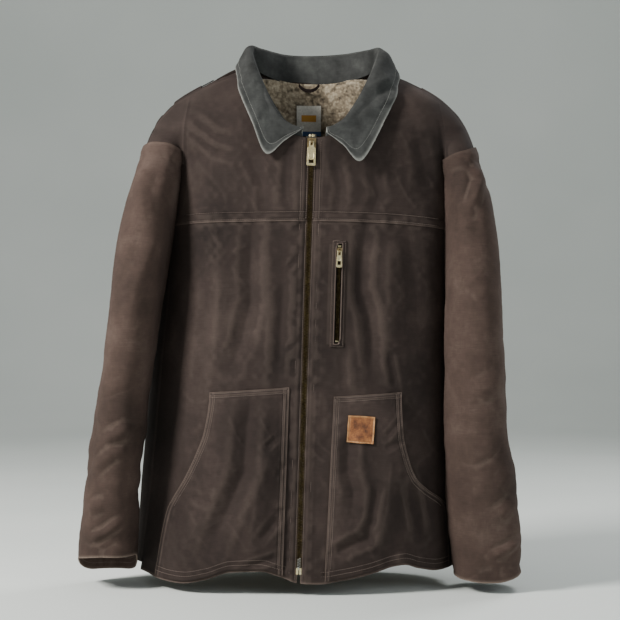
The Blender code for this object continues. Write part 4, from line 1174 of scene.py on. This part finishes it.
def lining_grid(side, back, columns, inner):
    """Rows from a little above the hem up to the neckline and shoulder, close together at the top."""
    low_rows, top_rows = 90, 120
    u = crowded(columns, 0.5)[None]
    share = 0.45
    neck_x, neck_z = neck_edge(side, np.clip(u / share, 0, 1), back)
    beyond = np.clip((u - share) / (1 - share), 0, 1)
    top_x = np.where(u > share, lerp(neck_x, side * 0.246, beyond), neck_x)
    top_z = np.where(u > share, shoulder_height(top_x), neck_z) - 0.003 - 0.013 * smooth(0.5, 1.0, u / share)
    join = -0.24
    v = np.concatenate([np.linspace(0, 1, low_rows)[:-1], np.linspace(1, 2, top_rows)])[:, None]
    z_low = lerp(-0.785, join, np.minimum(v, 1)) + 0 * u
    x_low = lerp(inner(z_low), lean(z_low) + side * width(z_low, side) * 0.985, u)
    x_join = x_low[low_rows - 1][None]
    t = np.clip(v - 1, 0, 1)
    x = np.where(v <= 1, x_low, lerp(x_join, top_x, t))
    z = np.where(v <= 1, z_low, lerp(join + 0 * u, top_z, t))
    return x, z


def lining_sheet(side, back, columns, inner):
    x, z = lining_grid(side, back, columns, inner)
    room = smooth(0.0, 0.05, shoulder_height(x) - z)
    grid = body_point(x, z, side, back, inset=LINING_INSET * lerp(0.6, 1, room))
    out = 1 if back else -1
    grid[..., 1] = out * np.maximum(out * grid[..., 1], 0.0005)
    across = np.abs(x - lean(z)) / width(z, side)
    grid[..., 0] -= side * 0.0085 * smooth(0.6, 0.98, across)
    lumps = fleece_lumps(grid)
    grid[..., 1] -= out * lumps * 0.0030 * room
    return grid, lumps


def make_linings():
    for side, name in NAMES.items():
        grid, lumps = lining_sheet(side, False, 90, lambda z: zip_x(z) + side * 0.031)
        # the pile's height goes to the fleece colour as painted shade in its hollows
        cloth(name + "_front_fleece", grid, -0.003, name + "_front_lining", look="fleece", slot="fleece",
              flip=side < 0, wear=lumps)
        z = np.linspace(-0.800, ZIP_TOP_Z - 0.001, 260)[:, None]
        across = np.linspace(FRONT_GAP + 0.0006, 0.0325, 16)[None]
        strip = body_point(zip_x(z) + side * across, z + 0 * across, side, inset=0.0048)
        cloth(name + "_front_facing_cloth", strip, 0.0014, name + "_front_facing", look="facing",
              flip=side < 0)
    halves = zip(*[lining_sheet(side, True, 110, lambda z: 0.0) for side in NAMES])
    grid, lumps = (np.concatenate([right[:, :0:-1], left], axis=1) for right, left in halves)
    # the pile's height goes to the fleece colour as painted shade in its hollows
    cloth("back_fleece", grid, -0.003, "back_lining", look="fleece", slot="fleece", flip=True, wear=lumps)


# ---------------------------------------------------------------- collar

COLLAR_RISE = (0.045, 0.043, 0.037, 0.031, 0.032, 0.026, 0.018, 0.015, 0.013)
COLLAR_PULL_IN = (0, 0, 0, 0.002, 0.006, 0.012, 0.009, 0.003, 0)
FRONT_NECK_ANGLES = {RIGHT: (75, 55, 31, 17, 7), LEFT: (75, 55, 32, 19, 11)}
LEAF_EDGE = {
    RIGHT: [(0.002, -0.060), (-0.060, -0.055), (-0.104, -0.014), (-0.124, 0.018), (-0.114, -0.030),
            (-0.093, -0.083), (-0.0705, -0.1335), (-0.040, -0.112), (-0.0105, -0.0925)],
    LEFT: [(0.002, -0.060), (0.068, -0.055), (0.124, -0.020), (0.147, 0.007), (0.143, -0.028),
           (0.121, -0.078), (0.0825, -0.1455), (0.052, -0.120), (0.0275, -0.1005)],
}
LEAF_LIFT = {RIGHT: (0.0085, 0.0085, 0.0085, 0, 0.008, 0.010, 0.0135, 0.011, 0.007),
             LEFT: (0.0085, 0.0085, 0.0085, 0, 0.009, 0.013, 0.0190, 0.014, 0.008)}


def plain_point(x, z, side, back=False):
    depth = torso_depth(np.asarray(x, float), np.asarray(z, float), side, back)
    return np.array([x, float(depth) if back else -float(depth), z], float)


def collar_half(side):
    """Seam, crest and free-edge points of the collar at each station, from the middle of the back."""
    seam, crest, edge = [], [], []
    for t in (0.0, 0.45, 0.82):
        x, z = neck_edge(side, t, True)
        seam.append(plain_point(x, float(z), side, True))
    x, z = neck_edge(side, 1.0, False)
    seam.append(np.array([x, 0.0, float(z)]))
    for angle in FRONT_NECK_ANGLES[side]:
        x, z = neck_edge(side, angle / 90, False)
        seam.append(plain_point(float(x), float(z), side))
    for point, rise, pull in zip(seam, COLLAR_RISE, COLLAR_PULL_IN):
        inward = np.array([NECK_SHIFT - point[0], -point[1], 0])
        inward /= np.linalg.norm(inward)
        crest.append(point + inward * pull + (0, 0, rise))
    for index, (x, z) in enumerate(LEAF_EDGE[side]):
        point = plain_point(x, z, side, index < 3)
        if index == 3:
            point[1] = 0.0
        else:
            point[1] += LEAF_LIFT[side][index] * (1 if index < 3 else -1)
        edge.append(point)
    return [np.array(part) for part in (seam, crest, edge)]


def spline(points, t):
    """Catmull-Rom curve through points, t from 0 to 1."""
    points = np.asarray(points)
    ends = np.concatenate([[2 * points[0] - points[1]], points, [2 * points[-1] - points[-2]]])
    at = np.clip(t, 0, 1) * (len(points) - 1)
    i = np.clip(at.astype(int), 0, len(points) - 2)
    f = (at - i)[:, None]
    if points.ndim == 3:
        f = f[..., None]
    p0, p1, p2, p3 = (ends[i + k] for k in range(4))
    return 0.5 * (2 * p1 + (p2 - p0) * f + (2 * p0 - 5 * p1 + 4 * p2 - p3) * f ** 2
                  + (3 * p1 - p0 - 3 * p2 + p3) * f ** 3)


def collar_grid(columns=460, rows=78):
    halves = [collar_half(side) for side in (RIGHT, LEFT)]
    seam, crest, edge = (np.concatenate([a[:0:-1], b]) for a, b in zip(*halves))
    out = edge - crest
    out[:, 2] = 0
    rise = (crest - seam)[:, 2:]
    outward = out / np.linalg.norm(out, axis=1, keepdims=True)
    up = np.array([0, 0, 1])
    profile = [seam + (0, 0, -0.006) - outward * 0.0035, seam - outward * 0.003 + 0.45 * rise * up,
               crest - outward * 0.0012 - 0.004 * up, crest + outward * 0.0015]
    knee = crest + out * 0.45 + 0.35 * rise * up
    for t in (0.12, 0.28, 0.46, 0.64, 0.82, 1.0):
        profile.append(crest * (1 - t) ** 2 + knee * 2 * t * (1 - t) + edge * t * t)
    profile = np.array(profile)
    rows_at = np.concatenate([np.linspace(0, 0.30, 20)[:-1], np.linspace(0.30, 1, rows - 19)])
    across = spline(profile, rows_at)
    around = spline(across.transpose(1, 0, 2), np.linspace(0, 1, columns)).transpose(1, 0, 2)
    return around, rows_at


def make_collar():
    grid, rows_at = collar_grid()
    n = grid_normals(grid)
    leaf = smooth(0.36, 0.6, rows_at)[:, None]
    lift = 0.0022 * noise(grid, 0.045, 41) + 0.0010 * noise(grid, 0.018, 42)
    lift = lift + 0.0006 * (creased(grid, (0.02, 0.02, 0.013), 43) - 0.4)
    columns = grid.shape[1]
    ends = np.minimum(np.arange(columns), np.arange(columns)[::-1])[None] * 0.0014
    from_edge = (1 - rows_at)[:, None] * 0.075
    border = np.minimum(from_edge, ends)
    lift = lift * leaf - 0.0006 * np.exp(-((border - 0.0065) / 0.0014) ** 2) * leaf
    lift = lift + 0.0006 * np.exp(-((border - 0.002) / 0.002) ** 2) * leaf
    crease = fold(grid[..., 0], grid[..., 2], [(0.066, -0.058), (0.100, -0.040), (0.143, -0.018)], 0.010, 0.0075)
    lift = lift - crease * leaf * (grid[..., 1] < 0)
    lift = lift + 0.0007 * noise(grid, 0.009, 44) * np.exp(-((border - 0.006) / 0.006) ** 2) * leaf
    outward = n if n[len(n) * 3 // 4, columns // 8] @ np.array([0, -1, 0.6]) > 0 else -n
    grid = grid + outward * lift[..., None]
    for side in (RIGHT, LEFT):
        x, y, z = grid[..., 0], grid[..., 1], grid[..., 2]
        skin = body_point(x, z, side)[..., 1]
        below = smooth(0.004, 0.020, shoulder_height(x) - z) * leaf * (y < 0) * ((x - zip_x(z)) * side > 0)
        over = np.maximum(0, y - (skin - 0.0060))
        grid[..., 1] = y - over * below
    crest = np.exp(-((rows_at - 0.33) / 0.035) ** 2)[:, None]
    wear = np.clip(edge_wear(border, width=0.0013) + 0.22 * crest * (0.6 + 0.4 * noise(grid, 0.02, 45)), 0, 1)
    cloth("collar_cloth", grid, 0.0030, "top_collar", "under_collar", "collar_stand", look="collar_cloth",
          slot="collar_cloth", flip=outward is not n, wear=wear)
    row = int(np.argmin(np.abs((1 - rows_at) * 0.075 - 0.0065)))
    first = 5
    lines = [(grid[row, first:-first], outward[row, first:-first])]
    start_row = int(np.argmin(np.abs(rows_at - 0.42)))
    for column in (first, columns - 1 - first):
        lines.append((grid[start_row:row, column], outward[start_row:row, column]))
    stitching("collar_stitching", lines, "collar_thread", "collar_cloth", pitch=0.0030, length=0.00115,
              thread=0.00038)


# ---------------------------------------------------------------- zips

def joint_named(name):
    return next(j for j in frame["joints"] if j["name"] == name)


def zip_frame(slide, flip, size):
    """(origin, across, inward, up) of a zip, from its slider's joint and its pull's pivot."""
    up = np.array(joint_named(slide)["axis"], float)
    up /= np.linalg.norm(up)
    outward = np.array([0, -1, 0]) - up * -up[1]
    inward = -outward / np.linalg.norm(outward)
    across = np.cross(inward, up)
    pivot = np.array(joint_named(flip)["pos_m"], float)
    origin = pivot + inward * 0.0062 + up * (0.0075 + 0.0025 * (size - 1))
    return origin, across, inward, up


def solids(name, outlines, y_low, y_high, chamfer, basis):
    """Prisms with chamfered rims, one for each (outline, height), placed in a zip's frame."""
    origin, across, inward, up = basis
    points, quads, triangles, start = [], [], [], 0
    for outline, height in outlines:
        outline = np.array(outline)
        middle = outline.mean(axis=0)
        small = outline + (middle - outline) * np.minimum(
            1, chamfer / np.maximum(np.linalg.norm(outline - middle, axis=1, keepdims=True), 1e-9))
        count = len(outline)
        for ring, y in ((small, y_low), (outline, y_low + chamfer), (outline, y_high - chamfer),
                        (small, y_high)):
            for x, z in ring:
                points.append(origin + across * x + inward * y + up * (z + height))
        quads.append(grid_quads(4, count, wrap=True, start=start))
        for k in range(1, count - 1):
            triangles.append([start, start + k + 1, start + k])
            last = start + 3 * count
            triangles.append([last, last + k, last + k + 1])
        start += 4 * count
    return mesh_object(name, points, np.concatenate(quads), triangles=triangles, smooth_faces=False)


def make_teeth(prefix, basis, length, size, pitch):
    tall = pitch * 0.62
    shape = [(0.0042, -0.5), (0.0014, -0.5), (0.0001, -0.34), (-0.0006, -0.1), (-0.0006, 0.1),
             (0.0001, 0.34), (0.0014, 0.5), (0.0042, 0.5)]
    for side, name in NAMES.items():
        outline = [(side * x * size, z * tall) for x, z in shape]
        if side < 0:
            outline = outline[::-1]
        count = int((length - 0.006) / pitch)
        shift = 0.5 if side > 0 else 0.0
        rows = [(outline, -(k + 0.5 + shift) * pitch) for k in range(count)]
        teeth = solids(prefix + name + "_zip_fine_teeth", rows, -0.0002, 0.0034, 0.00025 * size, basis)
        # the teeth take the brass painted near black: painted shade of their gap
        finish_piece(teeth, "brass_with_painted_shade", "brass", "root", prefix + name + "_zip_teeth")


def make_zips():
    main = zip_frame("main_zip_slide", "main_pull_flip", 1.0)
    chest = zip_frame("chest_zip_slide", "chest_pull_flip", 0.65)
    make_teeth("", main, 0.690, 1.0, 0.0024)
    make_teeth("chest_", chest, 0.157, 0.65, 0.0018)
    for node in ("main_slider", "chest_slider", "main_pull", "chest_pull", "left_top_stop", "right_top_stop",
                 "retainer_box", "insertion_pin", "chest_top_stop", "chest_bottom_stop"):
        obj = dress_node(node, "aged_brass" if node.endswith("slider") else "brass")
        weld = obj.modifiers.new("weld", "WELD")
        weld.merge_threshold = 0.00002
        bevel = obj.modifiers.new("bevel", "BEVEL")
        bevel.width = 0.00028
        bevel.segments = 2
        bevel.limit_method = "ANGLE"
        bevel.angle_limit = math.radians(35)
    for node in ("left_zip_tape", "right_zip_tape", "chest_left_zip_tape", "chest_right_zip_tape"):
        dress_node(node, "zip_tape")
    for name, basis, size, drop in (("main_pull", main, 1.0, 0.039), ("chest_pull", chest, 0.65, 0.026)):
        origin, across, inward, up = basis
        pivot = -(0.0075 + 0.0025 * (size - 1))
        high, low, half = pivot - 0.0145 * (0.5 + size / 2), pivot - drop + 0.0135, 0.0040 * size
        turn = np.linspace(0, math.pi, 13)
        path = [(-half, high)] + [(-half * math.cos(a), low - half * math.sin(a)) for a in turn] + [(half, high)]
        line = [origin + across * x + up * z + inward * -0.00705 for x, z in path]
        bead = tube(name + "_relief", np.array(line), 0.00055 * (0.5 + size / 2), inward)
        finish_piece(bead, "brass", "brass", name)


def dress_node(node, look):
    obj = frame["nodes"][node]
    obj.data.materials.clear()
    obj.data.materials.append(LOOKS[look])
    return obj


def tube(name, path, radius, axis, sides=10):
    """Round bead along a path that lies square to an axis."""
    tangent = unit(np.gradient(path, axis=0))
    side = unit(np.cross(tangent, axis))
    normal = np.cross(side, tangent)
    turn = np.arange(sides) * 2 * math.pi / sides
    taper = np.minimum(1, np.minimum(np.arange(len(path)), np.arange(len(path))[::-1]) * 0.5 + 0.5)
    ring = (side[:, None] * np.cos(turn)[None, :, None] + normal[:, None] * np.sin(turn)[None, :, None])
    points = path[:, None] + ring * radius * taper[:, None, None]
    caps = [[a, c, b] for a, b, c in end_caps(sides, (len(path) - 1) * sides)]
    return mesh_object(name, points, grid_quads(len(path), sides, wrap=True), triangles=caps)


# ---------------------------------------------------------------- chest pocket welt

def rounded_frame(half, low, high, radius, count):
    """Points (across, z) round an upright rectangle with round corners, at even shares of its edge."""
    corners = [(half, high), (-half, high), (-half, low), (half, low)]
    points = []
    for k, (x, z) in enumerate(corners):
        cx, cz = x - math.copysign(radius, x), z - radius * (1 if k < 2 else -1)
        for a in np.linspace(k * math.pi / 2, (k + 1) * math.pi / 2, 8):
            points.append((cx + radius * math.cos(a), cz + radius * math.sin(a)))
    points = np.array(points + points[:1])
    done = distance_along(points)
    return interpolated(np.arange(count) / count * done[-1], done, points)


def chest_zip_x(z):
    (high_x, high_z), (low_x, low_z) = CHEST_ZIP
    return lerp(low_x, high_x, (z - low_z) / (high_z - low_z))


def make_chest_welt():
    count = 360
    outer = rounded_frame(0.0112, -0.4435, -0.2725, 0.0016, count)
    inner = rounded_frame(0.0040, -0.4375, -0.2785, 0.0012, count)
    share = np.linspace(0, 1, 22)[:, None, None]
    flat_ring = lerp(outer[None], inner[None], share)
    s = share[..., 0]
    profile = 0.0026 * smooth(0, 0.12, s) - 0.0009 * np.exp(-((s - 0.25) / 0.07) ** 2)
    profile = profile + 0.0015 * np.exp(-((s - 0.80) / 0.16) ** 2) - 0.0040 * smooth(0.93, 1.0, s)
    x, z = flat_ring[..., 0] + chest_zip_x(flat_ring[..., 1]), flat_ring[..., 1]
    profile = profile + 0.0005 * noise(flat(x, z), (0.006, 1, 0.012), 51) * smooth(0.1, 0.5, s)
    grid = body_point(x, z, LEFT, lift=profile + 0.0003)
    wear = 0.9 * np.exp(-((s - 0.82) / 0.10) ** 2) + 0.8 * np.exp(-(s / 0.07) ** 2) + 0 * x
    cloth("chest_pocket_welt_cloth", grid, 0.0012, "chest_pocket_welt", wrap=True, wear=wear)
    low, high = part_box("chest_pocket_bag")
    x, z = np.meshgrid(np.linspace(low.x, high.x, 70), np.linspace(low.z, high.z, 110))
    cloth("chest_pocket_bag_cloth", body_point(x, z, LEFT, inset=0.0062), 0.0008, "chest_pocket_bag",
          look="facing")

    def skin(x, z):
        return body_point(x, z, LEFT, lift=0.0024)
    x, z = rounded_frame(0.0093, -0.4415, -0.2745, 0.0014, 700).T
    stitching("chest_pocket_stitching", [stitch_line(skin, x + chest_zip_x(z), z)], pitch=0.003,
              length=0.00115, thread=0.00036)


# ---------------------------------------------------------------- patch, label, loop

def make_patch():
    low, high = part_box("leather_patch")
    cx, cz = (low.x + high.x) / 2, (low.z + high.z) / 2
    tilt = math.radians(-4)
    half_w, half_h = 0.0212, 0.0212
    a, b = np.meshgrid(np.linspace(-1, 1, 90), np.linspace(-1, 1, 90))
    round_off = 1 - 0.012 * (a * a) * (b * b)
    wobble = 0.012 * noise(flat(a * 0.02, b * 0.02), 0.008, 61)
    la, lb = a * half_w * (round_off + wobble * np.abs(a)), b * half_h * (round_off - wobble * np.abs(b))
    x = cx + la * math.cos(tilt) - lb * math.sin(tilt)
    z = cz + la * math.sin(tilt) + lb * math.cos(tilt)
    base = body_point(x, z, LEFT, lift=pocket_lift(x, z, LEFT))
    smooth_base = base.copy()
    for _ in range(30):
        level = smooth_base[..., 1]
        level[1:-1, 1:-1] = (level[:-2, 1:-1] + level[2:, 1:-1] + level[1:-1, :-2] + level[1:-1, 2:]) / 4
    edge = np.minimum(1 - np.abs(a), 1 - np.abs(b)) * half_w
    height = 0.0030 + 0.0006 * noise(base, 0.012, 62) - 0.0007 * np.exp(-((edge - 0.0028) / 0.0008) ** 2)
    height = height + 0.0010 * (np.abs(a) * np.abs(b)) ** 3
    grid = base.copy()
    grid[..., 1] = np.minimum(smooth_base[..., 1], base[..., 1]) - height
    wear = edge_wear(edge, width=0.0016) + 0.35 * smooth(0.35, 0.9, np.hypot(a, b)) \
        + 0.15 * noise(base, 0.006, 63)
    cloth("leather_patch_skin", grid, 0.0016, "leather_patch", look="leather", slot="leather",
          wear=np.clip(wear, 0, 1))
    k = int(np.argmin(np.abs((1 + np.linspace(-1, 0, 45)) * half_w - 0.0028)))
    ring = np.concatenate([grid[k, k:-k], grid[k:-k, -k - 1], grid[-k - 1, -k - 1:k:-1], grid[-k - 1:k:-1, k]])
    n = np.tile([0.0, -1.0, 0.0], (len(ring), 1))
    stitching("patch_stitching", [(ring, n)], "patch_thread", "leather", pitch=0.0026, length=0.00095,
              thread=0.00034)


def make_label():
    cx, cz, half_w, half_h = -0.0020, -0.0640, 0.0205, 0.0250
    a, b = np.meshgrid(np.linspace(-1, 1, 50), np.linspace(-1, 1, 60))
    x, z = cx + a * half_w, cz + b * half_h
    grid = body_point(x, z, LEFT, True, inset=LINING_INSET + 0.0045)
    grid[..., 1] += 0.0012 * np.sin(a * 2.2 + b) - 0.0010 * (1 - b) * 0.5
    cloth("neck_label_weave", grid, -0.0008, "neck_label", look="label", slot="label_cloth", flip=True)
    x, z = cx + 0.004 + a * 0.0085, cz - half_h - 0.004 + b * 0.0075
    grid = body_point(x, z, LEFT, True, inset=LINING_INSET + 0.0056)
    grid[..., 1] -= 0.0015 * (1 - b)
    cloth("size_tab_weave", grid, -0.0006, "size_tab", look="label_plain", slot="label_cloth", flip=True)


def make_loop():
    t, w = np.meshgrid(np.linspace(-1, 1, 60), np.linspace(-1, 1, 9), indexing="ij")
    x = -0.0015 + 0.0170 * t
    z = -0.0045 - 0.0105 * (1 - np.abs(t) ** 2.4) + w * 0.0030
    grid = body_point(x, z, LEFT, True, inset=LINING_INSET + 0.0040)
    grid[..., 1] -= 0.0050 * (1 - t * t)
    cloth("hang_loop_tape", grid, 0.0012, "hang_loop", look="facing")


# ---------------------------------------------------------------- stage

def make_stage():
    turn = np.linspace(0, math.pi / 2, 24)
    bend = [(3.0 + 2 * math.sin(a), 2 - 2 * math.cos(a)) for a in turn]
    profile = [(-6.0, 0.0), (2.6, 0.0)] + bend + [(5.0, 6.0)]
    grid = np.array([[(x, y, FLOOR + z) for x in (-7.0, 7.0)] for y, z in profile])
    floor = mesh_object("studio_floor", grid, grid_quads(len(profile), 2)[:, ::-1])
    m = Nodes("studio_paper", Roughness=0.95)
    shade = m.ramp(m.noise(1.5, 2.0), (0.3, "#dfe5e1"), (0.7, "#e6ebe7"))
    floor.data.materials.append(m.finish(shade))


def area_light(name, place, target, size, power, colour=(1, 1, 1)):
    data = bpy.data.lights.new(name, "AREA")
    data.shape = "RECTANGLE"
    data.size, data.size_y = size
    data.energy = power
    data.color = colour
    obj = bpy.data.objects.new(name, data)
    bpy.context.scene.collection.objects.link(obj)
    obj.location = place
    direction = np.array(target) - np.array(place)
    obj.rotation_euler = Vector(direction).to_track_quat("-Z", "Y").to_euler()


def make_lights_and_camera():
    world = bpy.data.worlds.new("studio")
    world.use_nodes = True
    world.node_tree.nodes["Background"].inputs["Color"].default_value = (0.84, 0.87, 0.87, 1)
    world.node_tree.nodes["Background"].inputs["Strength"].default_value = 0.30
    bpy.context.scene.world = world
    area_light("key", (-2.0, -1.25, 1.15), (0, 0, -0.35), (0.7, 0.7), 128, (1.0, 0.975, 0.94))
    area_light("fill", (2.0, -1.8, 0.4), (0, 0, -0.4), (1.4, 1.4), 17, (0.92, 0.97, 1.0))
    area_light("rim", (1.2, 1.1, 1.2), (0, 0, -0.3), (0.8, 0.8), 25)
    camera = bpy.data.cameras.new("camera")
    camera.lens = 36 * 2.4 / 0.992
    camera.sensor_width = 36
    camera.clip_start, camera.clip_end = 0.05, 60
    obj = bpy.data.objects.new("camera", camera)
    bpy.context.scene.collection.objects.link(obj)
    obj.location = (0.0, -2.49, -0.384)
    obj.rotation_euler = (math.pi / 2, 0, 0)
    bpy.context.scene.camera = obj


make_front_panels()
make_yokes()
make_back_panel()
make_hand_pockets()
make_body_stitching()
make_linings()
make_collar()
make_sleeves()
make_zips()
make_chest_welt()
make_patch()
make_label()
make_loop()
make_stage()
make_lights_and_camera()
